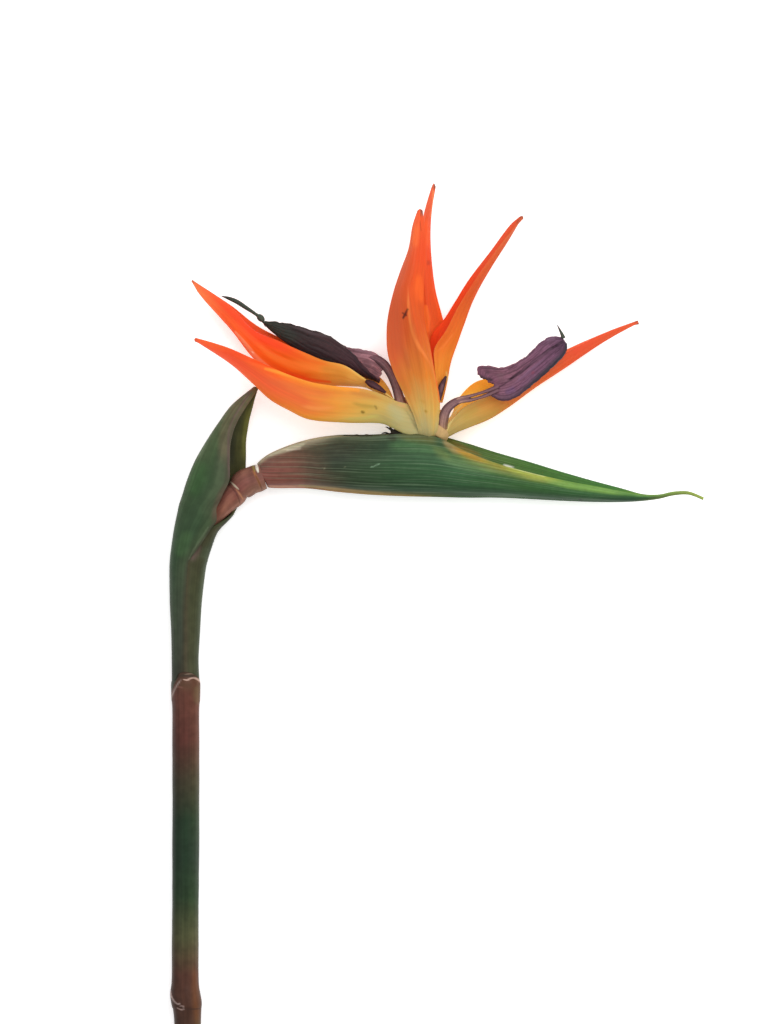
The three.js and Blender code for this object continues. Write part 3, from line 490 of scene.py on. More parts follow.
TONGUE_BANDS = {
    "floret_1_tongue": [
        (-1.0, [(0, "442830"), (0.2, "442c32"), (0.5, "402c2e"), (0.8, "382e2c"), (1, "34382f")]),
        (-0.1, [(0, "3a2228"), (0.2, "3c262b"), (0.5, "352629"), (0.8, "302927"), (1, "30332b")]),
        (0.35, [(0, "946468"), (0.15, "946468"), (0.3, "744c52"), (0.5, "422c2f"), (1, "3a3433")]),
        (0.9, [(0, "9c6c72"), (0.15, "ac7c84"), (0.3, "8a6068"), (0.45, "4a3638"), (1, "3a3633")]),
    ],
    "floret_2_tongue": [
        (-1.0, [(0, "604250"), (0.5, "4a3c4a"), (1, "3f3842")]),
        (-0.6, [(0, "825868"), (0.4, "7a5268"), (0.8, "6d4a60"), (1, "50384a")]),
        (0.4, [(0, "72485a"), (0.25, "805664"), (0.7, "7a5268"), (1, "64465c")]),
    ],
}

# Across each strand: a painted highlight along its top (0.1) and painted shade on its sides, darkest
# on one side (-1).
STRAND_BANDS = [
    (-1.0, [(0, "8a6050"), (0.15, "6a4844"), (0.35, "5a3e40"), (1, "50363c")]),
    (0.1, [(0, "c89c78"), (0.12, "b88c7c"), (0.35, "94706e"), (1, "7a5560")]),
    (0.9, [(0, "a07850"), (0.15, "84604c"), (0.35, "6a4c50"), (1, "60424a")]),
]

SMALL_PETAL_BANDS = [
    (-0.9, [(0, "4a3036"), (1, "3a2226")]),
    (0.0, [(0, "6a4a50"), (0.6, "5c3e46"), (1, "4a2e34")]),
    (0.9, [(0, "4a3036"), (1, "3a2226")]),
]

STYLE_BANDS = [(-1.0, [(0, "3a3d36"), (0.2, "42463c"), (0.5, "3c4236"), (1, "2e3430")]),
               (0.4, [(0, "444840"), (0.2, "50564a"), (0.5, "4a5244"), (1, "343a34")])]

# Strokes of colour on the pieces, as seen from above: each is a line of points in millimetres, the
# stroke's half widths along it, how soft its edge is (0 to 1), its colour and how much it covers.
# Some strokes are painted highlights and painted shadow, each marked so below.
STROKES = {
    "floret_1_sepal_lower": [
        # Yellow-orange line on the raised crest: partly the sepal's own colour, partly a painted
        # highlight on the crest.
        ([(33.8, 88.6), (41.8, 86.5), (48.1, 84.8), (56.5, 82.1), (64.9, 80.6), (72.5, 79.4)],
         (0.4, 1, 1.3, 0.7), 0.7, "ffa038", 0.9),
        ([(27.9, 92), (35.5, 89.7), (43.9, 87.6), (56.5, 84.4)], (0.5, 0.65, 0.4), 0.6, "f84610", 0.8),
        ([(88.8, 73.8), (92.6, 72.8)], (0.4, 0.6), 0.9, "dc9c68", 0.6),
        ([(15.3, 96.6), (22.9, 94.5), (28.8, 91.6)], (0.6, 1.2, 0.6), 0.9, "ee4420", 0.55),
        ([(32.1, 84.8), (43.9, 81.5), (54.4, 79), (64.9, 77.3)], (1.2, 2, 1.2), 0.9, "d8673a", 0.45),
        ([(48.1, 73.5), (54.8, 72.2), (64, 72.7)], (0.5, 0.9, 0.4), 0.8, "fa9c50", 0.55),
        ([(67.4, 79.2), (75.4, 77.7), (82.5, 76)], (0.6, 1, 0.3), 0.9, "c07c3c", 0.55),
        ([(69.1, 74.8), (74.1, 73.5), (81.7, 72.7)], (0.5, 0.8, 0.4), 0.9, "a8883c", 0.5),
        # Pale greenish streak: a painted highlight.
        ([(82.5, 69.7), (74.1, 68.2), (64.9, 68)], (0.5, 0.7, 0.3), 0.8, "cfc46a", 0.55),
        ([(91.8, 72.2), (95.1, 67.2), (97.6, 62.6)], (0.3, 0.5, 0.6), 0.9, "8f8450", 0.45),
        ([(74.1, 70.8), (74.7, 70.6)], (0.5, 0.5), 0.6, "7d6424", 0.9),
        ([(79.6, 73.3), (80.2, 72.2)], (0.25, 0.4), 0.7, "7d6430", 0.8),
        ([(84.2, 73.9), (88.4, 70.6), (90.9, 65.5)], (1.5, 2.2, 1.8), 0.9, "b3b083", 0.5),
    ],
    "floret_1_sepal_upper": [
        ([(8.2, 121.8), (15.3, 116.3), (22.9, 110), (32.1, 102.5), (40.9, 97.9), (48.9, 94.1)],
         (0.6, 1.6, 2, 1.6), 0.8, "fa4320", 0.65),
        ([(28.8, 100.8), (33.8, 95.8), (40.5, 92), (48.1, 89.9), (60.7, 88.6)],
         (0.5, 1.1, 1.5, 1), 0.8, "ff8a38", 0.6),
        ([(32.1, 94.5), (38.9, 89.9), (47.2, 86.9), (55.6, 86.1)],
         (0.4, 0.9, 1.1, 0.6), 0.8, "f0641f", 0.5),
        ([(21.2, 104.6), (26.2, 98.7), (30.4, 93.7), (35.9, 89.5)],
         (0.3, 0.5, 0.6, 0.3), 0.6, "ffa274", 0.7),
        ([(55.6, 89.9), (62.8, 87.4), (69.9, 84.4)], (1.4, 2.4, 1.6), 0.9, "d58c33", 0.55),
        ([(37.2, 88.6), (44.7, 86.3), (53.1, 84.4), (60.7, 83.6)],
         (0.5, 0.8, 0.4), 0.7, "ff5819", 0.7),
        ([(48.1, 92.8), (54.4, 91.6), (60.7, 90.7)], (0.5, 0.9, 0.6), 0.9, "f0641f", 0.4),
        # Pale line along the near margin: a painted highlight.
        ([(66.6, 90.7), (73.3, 86.5), (80, 81.9), (85.9, 76)],
         (0.3, 0.4, 0.35), 0.6, "f0cf86", 0.55),
        ([(83, 85.3), (85.5, 79.8), (87.1, 76)], (0.8, 1.2, 0.8), 0.9, "f2c45c", 0.6),
        ([(28.1, 96.2), (28.8, 95.5)], (0.2, 0.2), 0.5, "ffd0b0", 0.8),
    ],
    "floret_1_sepal_back": [
        ([(101.8, 134.8), (102.1, 132.3)], (0.6, 0.8), 0.9, "b8402a", 0.7),
        # Bright orange band: a painted highlight on the sepal's face.
        ([(101, 115.1), (101.4, 110), (101.6, 105)], (0.7, 1.3, 0.9), 0.5, "ff7e34", 0.85),
        ([(103.1, 164.6), (104, 166.3)], (0.6, 0.4), 0.9, "b85f44", 0.7),
        ([(100.2, 154.6), (101.4, 144.9), (101.8, 138.6)], (0.6, 1.2, 0.8), 0.9, "ff6a30", 0.5),
        ([(104, 163.8), (103.5, 157.5), (102.7, 152.9)], (0.25, 0.3, 0.2), 0.5, "ffb070", 0.5),
    ],
    "floret_2_sepal_front": [
        ([(93.4, 124), (93.8, 113.5), (95.5, 103.7), (98.1, 97.4), (101.8, 91.6), (104, 86.9)],
         (0.15, 0.3, 0.45, 0.5, 0.35), 0.85, "f88c44", 0.6),
        ([(88.8, 121.8), (88.4, 111.3), (89.2, 100.8), (92.2, 91.6)],
         (1.4, 2.8, 2.6, 1.4), 0.9, "c4532f", 0.45),
        ([(92.2, 98.7), (93.5, 91.6), (94.7, 87.4)], (0.5, 0.9, 0.5), 0.9, "bd6230", 0.5),
        ([(94.7, 110), (96, 98.7), (98.1, 93.2)], (0.8, 1.2, 0.8), 0.9, "d2672c", 0.4),
        ([(97.6, 129.4), (98.1, 121.8), (99.3, 115.1)], (1, 1.9, 1.2), 0.9, "ff6c28", 0.65),
        ([(97.6, 150.4), (96.8, 144.5), (96.4, 138.6)], (0.6, 1.1, 0.8), 0.8, "ff7436", 0.55),
        ([(98.9, 146.2), (99.3, 138.6), (99.3, 130.2)], (0.6, 1.4, 1.2), 0.9, "ee4f28", 0.5),
        ([(98.3, 150.4), (98.7, 146.6)], (0.2, 0.25), 0.6, "b8401f", 0.6),
        ([(91.6, 109.9), (92.6, 111.5), (93.6, 113.6)], (0.45, 0.5, 0.3), 0.6, "4a2018", 0.92),
        ([(91.2, 112.1), (93, 111)], (0.25, 0.35), 0.6, "5a281a", 0.85),
        ([(101, 71), (101.2, 70.7)], (0.5, 0.4), 0.7, "b0802a", 0.8),
        ([(98.5, 76), (101, 74.3)], (0.4, 0.6), 0.9, "c98f3a", 0.5),
        ([(102.7, 95.8), (104.4, 89), (105.6, 81.5), (106.5, 74.8)],
         (0.35, 0.5, 0.45, 0.3), 0.7, "f06a2c", 0.7),
        ([(90.1, 88.2), (93.5, 81.9), (95.1, 76.4)], (0.5, 0.8, 0.4), 0.9, "d8742c", 0.4),
        ([(94.3, 73.9), (96.8, 68), (98.9, 63)], (0.5, 0.6, 0.7), 0.9, "b09a5c", 0.5),
    ],
    "floret_2_sepal_upper": [
        ([(140.5, 151.6), (139.2, 149.5)], (0.6, 0.4), 0.9, "a85038", 0.8),
        ([(109.4, 87.4), (110, 83.2), (109, 77.7), (107.3, 73.1)],
         (0.35, 0.5, 0.45, 0.3), 0.6, "e6c070", 0.6),
        ([(104, 94.9), (107.7, 97.9), (113.2, 104.6)], (0.3, 0.45, 0.25), 0.85, "f88840", 0.5),
        ([(106.5, 85.7), (105.2, 79.8), (106, 73.9)], (0.5, 0.7, 0.5), 0.9, "e2843a", 0.5),
        ([(111.9, 96.6), (109.8, 91.6), (109, 87.4)], (0.8, 1.2, 0.8), 0.9, "f08528", 0.45),
    ],
    "floret_2_sepal_right": [
        ([(130.8, 82.7), (123.7, 82.7), (117.4, 79)], (1.2, 1.8, 1), 0.9, "ffa02c", 0.6),
        ([(116.5, 73.5), (113.6, 70.6), (111.1, 66.8), (109.4, 63)],
         (0.3, 0.6, 0.7, 0.4), 0.5, "f6dc90", 0.75),
        ([(123.7, 73.1), (119.5, 70.6), (116.1, 67.2)], (1, 1.6, 1.2), 0.9, "c4a24c", 0.45),
        ([(132.1, 74.8), (138.4, 76.4), (148.9, 81.5)], (0.8, 1.2, 0.8), 0.9, "ea7638", 0.5),
        ([(109.4, 66.8), (107.3, 62.6)], (0.8, 1.2), 0.9, "c9a765", 0.5),
        ([(125.4, 66.8), (134.6, 71.4), (144.7, 76.9)], (0.35, 0.4, 0.3), 0.7, "c58a50", 0.4),
    ],
    "floret_1_tongue": [
        ([(33.8, 107.5), (39.7, 105), (48.1, 100)], (1.2, 2.4, 1.6), 0.9, "343a33", 0.7),
        ([(68.7, 96.6), (72.5, 91.6), (76.6, 86.9), (80.4, 83.6)],
         (0.25, 0.4, 0.5, 0.4), 0.6, "2e2228", 0.85),
        ([(69.9, 96.6), (75.8, 96.2), (80.8, 94.1)], (0.5, 0.8, 0.6), 0.8, "8a6a74", 0.6),
        ([(74.1, 92.4), (78.3, 89)], (1.2, 1.6), 0.9, "5d444c", 0.5),
        ([(78.3, 89.9), (80.8, 85.7)], (0.8, 1), 0.9, "6a4a52", 0.6),
        ([(56.5, 103.7), (62.8, 101.6), (67, 97.9)], (0.3, 0.5, 0.3), 0.7, "57504c", 0.7),
        ([(41.8, 105.8), (50.2, 102.9), (58.6, 100.4), (64, 97)],
         (0.25, 0.35, 0.3), 0.8, "2a2426", 0.6),
        ([(48.1, 100), (56.5, 97.4), (67, 93.7)], (0.25, 0.4, 0.3), 0.8, "2a2224", 0.6),
        ([(45.1, 106.7), (53.1, 103.7), (60.7, 101.6)], (0.25, 0.4, 0.25), 0.8, "54464a", 0.6),
        ([(48.1, 95.8), (56.5, 93.2), (64, 92.4)], (0.6, 1, 0.6), 0.9, "33302f", 0.6),
    ],
    "floret_2_tongue": [
        ([(130, 80.2), (135.4, 83.6), (141.3, 87.8), (148, 93.2), (153.9, 97.4), (158.5, 100)],
         (0.25, 0.35, 0.35, 0.2), 0.7, "3a2834", 0.75),
        ([(132.1, 85.3), (138.8, 87.8), (146.8, 93.7), (153.1, 98.7)],
         (0.2, 0.35, 0.3, 0.2), 0.7, "47303f", 0.7),
        ([(134.2, 87.4), (140.5, 91.6), (146.8, 96.6)], (0.2, 0.3, 0.2), 0.7, "4b3545", 0.6),
        ([(134.2, 78.5), (140.5, 81.9), (146.8, 86.9), (153.1, 92.4)],
         (0.2, 0.3, 0.3, 0.2), 0.7, "4a3448", 0.6),
        ([(137.1, 81.9), (144.7, 88.2), (152.2, 94.5)], (0.3, 0.5, 0.3), 0.8, "8a6480", 0.55),
        ([(159.8, 96.6), (156.4, 92), (152.2, 87.8), (146.4, 82.3), (140.5, 78.5)],
         (0.5, 1, 1.1, 0.7), 0.8, "38353d", 0.8),
        ([(133.8, 78.5), (138.8, 80.6)], (1, 1.4), 0.9, "5e4c78", 0.35),
        ([(145.1, 86.5), (146.4, 87.8)], (0.5, 0.6), 0.9, "8c4658", 0.6),
        ([(130.4, 79.4), (131.7, 78.1)], (0.6, 0.6), 0.9, "8a5560", 0.6),
        ([(132.9, 82.7), (132.1, 87.4)], (1.2, 1.2), 0.9, "7d5c66", 0.5),
        ([(122.8, 86.5), (124.9, 84.4), (127.5, 84), (130, 83.2)],
         (0.5, 0.9, 0.7, 0.5), 0.8, "2c2028", 0.8),
        ([(123.3, 89.9), (127.9, 89), (132.1, 88.6)], (0.5, 0.6, 0.4), 0.9, "6a515c", 0.6),
        # Lighter mauve patch near the tip: a painted highlight.
        ([(151, 100.4), (155.6, 102.1)], (0.5, 0.7), 0.9, "886b80", 0.5),
        ([(127.9, 87.4), (125.4, 87.4)], (0.8, 1), 0.9, "4a3640", 0.5),
    ],
    "floret_1_small_petal": [
        ([(78.3, 82.3), (81.7, 80.2)], (0.3, 0.5), 0.9, "6b4a52", 0.7),
    ],
    "floret_2_small_petal": [
        ([(108.1, 82.7), (107.1, 78.5)], (0.5, 0.5), 0.8, "7d5c5e", 0.8),
    ],
    "sheath_near": [
        ([(27.9, 80.6), (24.1, 76), (20.4, 71), (17.4, 64.3), (16.2, 56.7), (16.6, 47)],
         (1.4, 2, 2, 1.6), 0.9, "625a44", 0.8),
        ([(28.3, 80.6), (22.9, 72.2), (19.9, 67.2), (18.3, 62.2), (18.1, 56.3), (18.1, 49.6),
          (18.7, 42.8)],
         (0.5, 0.5, 0.45, 0.4), 0.6, "64504c", 0.6),
        ([(29.6, 81.9), (26.7, 79.4)], (0.8, 1), 0.9, "7a5b3c", 0.7),
        ([(17.8, 41.2), (15.3, 35.7), (12.8, 29.4), (11.1, 23.5)],
         (0.8, 1.5, 1.4, 0.9), 0.9, "5c4c3e", 0.65),
        ([(3.1, 33.6), (5.2, 42), (7.3, 51.2)], (1.6, 3.2, 2), 0.9, "3a6034", 0.45),
        # Pale grey-green streak along the lap's edge: a painted highlight.
        ([(9.4, 22.3), (5.7, 16.4), (3.1, 12.2), (1.5, 8.8)],
         (0.3, 0.5, 0.4, 0.2), 0.6, "5c6a50", 0.6),
        ([(1.9, 21.8), (-1.5, 13.4), (-2.3, 8.4)], (1.4, 2.4, 1.6), 0.9, "47663c", 0.4),
        ([(11.1, 63), (7.8, 56.3), (4.4, 49.6)], (0.6, 1.2, 0.8), 0.9, "6a7a5c", 0.45),
        ([(22.1, 76.4), (17, 70.6), (12.8, 63.8)], (0.4, 0.9, 0.4), 0.9, "74785e", 0.4),
    ],
    "sheath_far": [
        ([(26.7, 74.8), (25.8, 67.2), (25, 58.8), (24.1, 49.6)],
         (0.7, 1.2, 1.4, 1.2), 0.8, "6d6c34", 0.8),
        # Dark patch in the left part of the sheath's inside: painted shadow.
        ([(20.4, 63), (19.1, 54.6), (19.5, 46.2)], (1, 1.4, 1), 0.9, "34352a", 0.7),
        ([(6.1, 15.5), (4, 11.8), (1.9, 7.6)], (1.2, 1.6, 1.2), 0.9, "5e4a44", 0.7),
        ([(22.1, 29), (16.6, 25.2), (9.4, 21)], (0.4, 0.5, 0.4), 0.5, "33402a", 0.6),
        ([(8.6, 14.7), (7.3, 8.4)], (1, 1.4), 0.9, "4e5640", 0.5),
    ],
    "spathe_near": [
        ([(104, 52.4), (111, 50.8), (119, 49), (127, 47), (134, 45.4)],
         (0.4, 2, 2.2, 1.8, 0.4), 1, "7c9a62", 0.4),
        ([(107, 59), (111.5, 56), (117, 53.4), (123, 50.8), (130, 48.2), (138, 45.9), (148, 43.4),
          (158, 41.2)],
         (1, 1.8, 2.2, 2.2, 2, 1.8, 1.6, 0.8), 1, "8f9448", 0.75),
        ([(107.4, 59), (110.6, 56.7), (113.5, 54.6), (117, 53)],
         (0.4, 1.2, 1.3, 0.4), 0.95, "a98c5c", 0.7),
        ([(111, 56.6), (115.4, 54.4), (119.5, 52.6), (124, 50.8), (129, 49)],
         (0.2, 1, 1.4, 1.1, 0.2), 0.95, "b4842e", 0.8),
        ([(121, 51.6), (128, 49.2), (134, 47.5), (141, 45.4)],
         (0.2, 1.1, 1.2, 0.2), 0.95, "98903c", 0.7),
        ([(131, 48.3), (138, 46.2), (146, 44.1), (154, 42.3), (161, 40.6)],
         (0.2, 1.2, 1.6, 1.2, 0.3), 0.95, "a4b04e", 0.8),
        ([(148.9, 42.6), (163.6, 39.5), (174.1, 37.8), (186.7, 35.7)],
         (0.8, 1.3, 1.1, 0.6), 0.8, "7da650", 0.75),
        # Pale light green band at the near lip: a painted highlight.
        ([(134.2, 48), (142.6, 45.7), (151, 43.5)], (0.2, 0.4, 0.25), 0.6, "d8dd9a", 0.5),
        ([(90, 59.6), (98.5, 59.4), (106.9, 58.8)], (1, 1.8, 2.2), 0.9, "6a6a38", 0.75),
        ([(87.6, 60.1), (92.2, 60.7), (98.5, 61.1), (105.2, 60.5)],
         (0.9, 1.5, 2.4, 2), 0.9, "56542e", 0.75),
        ([(84.2, 60.5), (86.7, 59.6), (89.2, 58.4)], (0.6, 1.2, 0.6), 0.8, "2f2a20", 0.8),
        ([(102.7, 56.3), (106.9, 53.8), (111.9, 50.4)], (0.6, 1.8, 0.8), 1, "7d8a48", 0.35),
        ([(32.1, 51.7), (37.6, 53.8), (43.9, 55.4), (49.8, 57.1)],
         (0.6, 1, 1, 0.4), 0.7, "b9b79a", 0.8),
        ([(42.6, 54.4), (48.1, 55.4)], (0.3, 0.5), 0.7, "dcdccc", 0.35),
        ([(57.3, 55.9), (64, 53.8), (69.9, 49.6)], (3, 4.5, 3), 1, "343a31", 0.5),
        ([(55.6, 50.4), (53.1, 44.5), (56.5, 41.2)], (2.4, 3, 2), 1, "54463a", 0.45),
        ([(83.8, 56.3), (94.3, 56.3), (106.9, 53.8)], (1.6, 2.8, 1.8), 1, "557d4e", 0.5),
        ([(48.1, 39.5), (58.6, 38.6), (69.1, 37.4), (83.8, 35.9), (102.7, 34.9)],
         (0.5, 0.8, 0.8, 0.6, 0.3), 0.7, "94794a", 0.65),
        ([(33.8, 39.3), (41.8, 39.1), (49.8, 39.1)], (0.4, 0.6, 0.4), 0.7, "b87f68", 0.7),
        ([(78.3, 47.5), (81.1, 48.6)], (0.2, 0.25), 0.5, "8fb08f", 0.55),
        ([(58, 47.2), (58.4, 46.8)], (0.25, 0.25), 0.6, "a89c80", 0.4),
        ([(67, 47.5), (67.3, 47.2)], (0.2, 0.2), 0.6, "8a9070", 0.35),
        ([(165.9, 34), (166.3, 32.8)], (0.4, 0.5), 0.6, "1c2418", 0.8),
        ([(172.4, 33.6), (182.5, 33.4), (191.7, 34.4)], (0.9, 1.1, 0.6), 0.9, "22402a", 0.6),
        ([(71.2, 61.1), (74.1, 61.1)], (0.4, 0.4), 0.6, "20241c", 0.8),
        ([(32.5, 52.3), (33.4, 52.6)], (0.4, 0.4), 0.6, "4a3a2c", 0.9),
        ([(30.4, 50), (31.1, 46.2), (32.1, 42)], (0.5, 0.6, 0.4), 0.7, "6a5a54", 0.6),
    ],
    "spathe_groove": [
        ([(110.5, 58.6), (114, 56.9), (119, 54.6), (126, 51.7)],
         (0.8, 1, 0.8, 0.3), 0.9, "7a6226", 0.7),
        ([(110.6, 60), (112.5, 58.8)], (0.8, 0.6), 0.9, "4a3c1c", 0.6),
        # Near-white sliver along the near lip's inner edge, fading out: a painted highlight.
        ([(134.2, 48.2), (137, 47.3), (139.5, 46.6)], (0.34, 0.28, 0.15), 0.4, "fffdf0", 1),
        ([(139.5, 46.6), (142.5, 45.8), (146, 44.9)],
         (0.15, 0.1, 0.05), 0.45, "e4edb4", 0.6),
    ],
    "stem": [
        # Pale band on the first ring of the neck: a painted highlight on its ridge.
        ([(19, 41.3), (20.5, 39.8), (22.3, 38.2)], (0.2, 0.42, 0.25), 0.6, "cbbba2", 0.85),
        ([(21.4, 38), (22.8, 36.2), (24.2, 34)], (0.25, 0.4, 0.25), 0.7, "b27c58", 0.7),
        ([(18.3, 40.1), (20.4, 37.8), (22.1, 34.9), (22.9, 32.3)],
         (0.25, 0.3, 0.25), 0.7, "4a2a22", 0.6),
        ([(28.2, 49.4), (28.4, 47.6), (29.2, 45.6)], (0.5, 0.45, 0.25), 0.7, "8f8a40", 0.7),
        # Near-white bead on the second ring: a painted highlight on the bead.
        ([(29.7, 48.6), (30, 47.4), (30.6, 45.4)], (0.5, 0.65, 0.3), 0.45, "e4e2d2", 0.95),
        ([(28, 46.8), (29.6, 43.8), (31.2, 40.4), (31.7, 38.4)],
         (0.4, 0.45, 0.4, 0.3), 0.8, "aa7040", 0.65),
        ([(29.6, 43.7), (31.3, 40.3), (32.1, 38.2)], (0.3, 0.3, 0.3), 0.7, "3f2620", 0.6),
        ([(22.9, 44.5), (25.8, 46.2), (27.1, 47.5)], (0.8, 1, 0.6), 0.9, "a0705e", 0.5),
        ([(15.3, 28.6), (18.7, 34.4), (21.2, 37.4)], (0.8, 1.2, 0.8), 0.9, "9a6a56", 0.5),
        ([(13.2, 25.2), (14.5, 30.2), (17, 35.3)], (0.5, 0.8, 0.5), 0.9, "663f34", 0.6),
        ([(22.9, 32.3), (18.7, 27.3), (14.1, 24.4)], (0.4, 0.5, 0.4), 0.8, "503428", 0.6),
        # Dark line in the crevice between the neck and the sheath: painted shadow.
        ([(9.9, 21.6), (13.2, 24), (16.2, 26.4)], (0.5, 0.7, 0.4), 0.9, "3a2a1e", 0.7),
        ([(30.4, 38.6), (27.1, 35.3), (24.6, 32.8)], (0.3, 0.5, 0.3), 0.8, "5e3a30", 0.6),
        ([(-4.6, -40.6), (0, -39.6), (5.6, -40.4)], (1.2, 1.7, 1.2), 0.8, "40352a", 0.7),
        ([(-3.4, -43.4), (0, -44.2), (4, -45)], (1.2, 1.9, 1.4), 0.95, "55402f", 0.5),
        ([(-0.6, -41.8), (0.8, -42), (1.9, -41.4), (3.6, -41.1), (5.3, -42), (6.5, -43.4)],
         (0.2, 0.35, 0.3, 0.38, 0.35, 0.2), 0.6, "c8a797", 0.85),
        ([(-0.4, -39.7), (3, -39.4), (5.4, -40.2), (6.4, -41.6)],
         (0.15, 0.2, 0.2, 0.15), 0.7, "a08c78", 0.6),
        ([(-5.7, -42), (-2.7, -40.3), (1.9, -40.3), (5.7, -41.2)],
         (0.4, 0.5, 0.4), 0.8, "3a3028", 0.6),
        ([(-5.6, -41), (-6, -44), (-6.3, -46.4)], (2.2, 1.2, 0.4), 0.4, "2a362c", 0.9),
        ([(-1.3, -41.2), (-3.1, -43.4), (-4.4, -45.6), (-5.5, -48), (-6.2, -50.5)],
         (0.25, 0.3, 0.3, 0.3, 0.2), 0.8, "a8968e", 0.6),
        ([(-4, -44.9), (-0.6, -45.2)], (0.2, 0.2), 0.8, "8e6056", 0.5),
        ([(4.8, -43.6), (5.2, -48), (5, -53)], (1.2, 1.8, 0.9), 0.95, "6a5c3e", 0.5),
        ([(-6.5, -172.6), (-6, -175.2), (-4.6, -177.3), (-3.2, -178.2), (-2.4, -177.9)],
         (0.25, 0.32, 0.35, 0.3, 0.3), 0.6, "b8a19b", 0.75),
        ([(-2.3, -179), (-1.2, -178.9), (-0.6, -179.9), (-1.6, -180.5), (-3.6, -179.8)],
         (0.22, 0.28, 0.3, 0.25, 0.2), 0.6, "ac928a", 0.7),
        ([(3.8, -160), (4.1, -172), (4.7, -181), (4.9, -190)],
         (0.6, 1.1, 1.3, 0.8), 0.95, "7a4a28", 0.5),
        ([(4.8, -182), (5.4, -190), (5.4, -225)], (1, 1.8, 1.8), 0.95, "66582f", 0.55),
        ([(-6.1, -176), (-3.1, -178.9), (1.1, -180.2), (6.1, -180.2)],
         (0.3, 0.4, 0.3), 0.7, "3a2a24", 0.6),
    ],
}

# Soft folds, as seen from above: a line of points, the fold's half width and how far it rises or,
# below zero, sinks.
FOLDS = {
    "floret_1_sepal_lower": [
        ([(13.7, 97.4), (22.9, 93.7), (33.8, 88.6), (48.1, 84.8), (62.8, 81.1), (73.3, 79.4)],
         1.3, 0.4),
        ([(43.9, 81.1), (56.5, 78.5), (69.1, 76.4)], 2.2, -0.35),
        ([(48.1, 73.5), (56.5, 72.2), (69.1, 72.7)], 1.6, 0.2),
        ([(91.8, 72.2), (95.1, 67.2), (97.6, 62.6)], 0.8, -0.3),
    ],
    "floret_1_sepal_upper": [
        ([(16.6, 113.4), (27.1, 103.3), (37.6, 95.3), (48.1, 90.7)], 1.4, -0.4),
        ([(21.2, 104.6), (26.2, 98.7), (30.4, 93.7), (35.9, 89.5)], 0.7, 0.25),
        ([(32.1, 105), (41.8, 98.7), (52.3, 93.2)], 1.6, 0.3),
        ([(40.5, 89), (52.3, 87.4), (64.9, 86.5)], 1.6, 0.3),
    ],
    "floret_1_sepal_back": [
        ([(101.8, 153.3), (101.8, 134.4), (102.7, 117.6)], 1.2, 0.15),
    ],
    "floret_2_sepal_front": [
        ([(93.5, 119.3), (94.3, 110), (96, 102.5), (98.5, 96.6), (102.7, 90.3)], 0.8, 0.14),
        ([(91.8, 117.6), (91.8, 105), (94.3, 94.5)], 1.4, -0.25),
        ([(97.6, 133.6), (98.5, 121.8), (100.2, 111.3)], 1.6, 0.15),
        ([(94.3, 73.9), (96.8, 68), (98.9, 63)], 0.8, -0.2),
    ],
    "floret_2_sepal_upper": [
        ([(132.1, 133.6), (123.7, 117.6), (116.1, 105)], 1, -0.15),
    ],
    "floret_2_sepal_right": [
        ([(119.5, 71.4), (132.1, 76.4), (148.9, 84.8), (165.7, 95.8)], 1.4, -0.25),
    ],
    "floret_1_tongue": [
        ([(41.8, 105.8), (50.2, 102.9), (58.6, 100.4), (64, 97)], 0.5, -0.22),
        ([(48.1, 100), (56.5, 97.4), (67, 93.7)], 0.5, -0.22),
        ([(45.1, 106.7), (53.1, 103.7), (60.7, 101.6)], 0.5, 0.2),
        ([(69.9, 96.6), (75.8, 96.2), (80.8, 94.1)], 0.9, 0.3),
        ([(74.1, 91.6), (78.3, 88.2)], 1.4, -0.3),
    ],
    "floret_2_tongue": [
        ([(130, 80.2), (135.4, 83.6), (141.3, 87.8), (148, 93.2), (153.9, 97.4), (158.5, 100)],
         0.7, -0.45),
        ([(132.1, 85.3), (138.8, 87.8), (146.8, 93.7), (153.1, 98.7)], 0.5, -0.25),
        ([(134.2, 87.4), (140.5, 91.6), (146.8, 96.6)], 0.45, -0.2),
        ([(134.2, 78.5), (140.5, 81.9), (146.8, 86.9), (153.1, 92.4)], 0.45, -0.25),
        ([(137.1, 81.9), (144.7, 88.2), (152.2, 94.5)], 0.7, 0.3),
    ],
    "stem": [
        ([(19, 41.3), (20.5, 39.8), (22.3, 38.2)], 0.5, 0.25),
        ([(29.8, 48.6), (30.4, 45.8)], 0.6, 0.4),
        ([(0.8, -42), (1.9, -41.4), (3.6, -41.1), (5.3, -42), (6.5, -43.4)], 0.4, 0.15),
        ([(-6.6, -172.2), (-5.9, -175.5), (-4.4, -177.5), (-2.7, -177.8), (-0.8, -179.8)], 0.45, 0.15),
    ],
}

# ---------- lines and grids of points ----------

KNOT_STEPS = 24  # points between two knots of a smooth line
STROKE_STEPS = 6  # points between two knots of a stroke
SOFT_ENDS = 0.75  # strokes softer than this fade at both ends
RIPPLE_OCTAVES = 4
OCTAVE_GAIN = 0.83  # how much faster each octave turns than the one before
RIPPLE_PEAK = 1.6


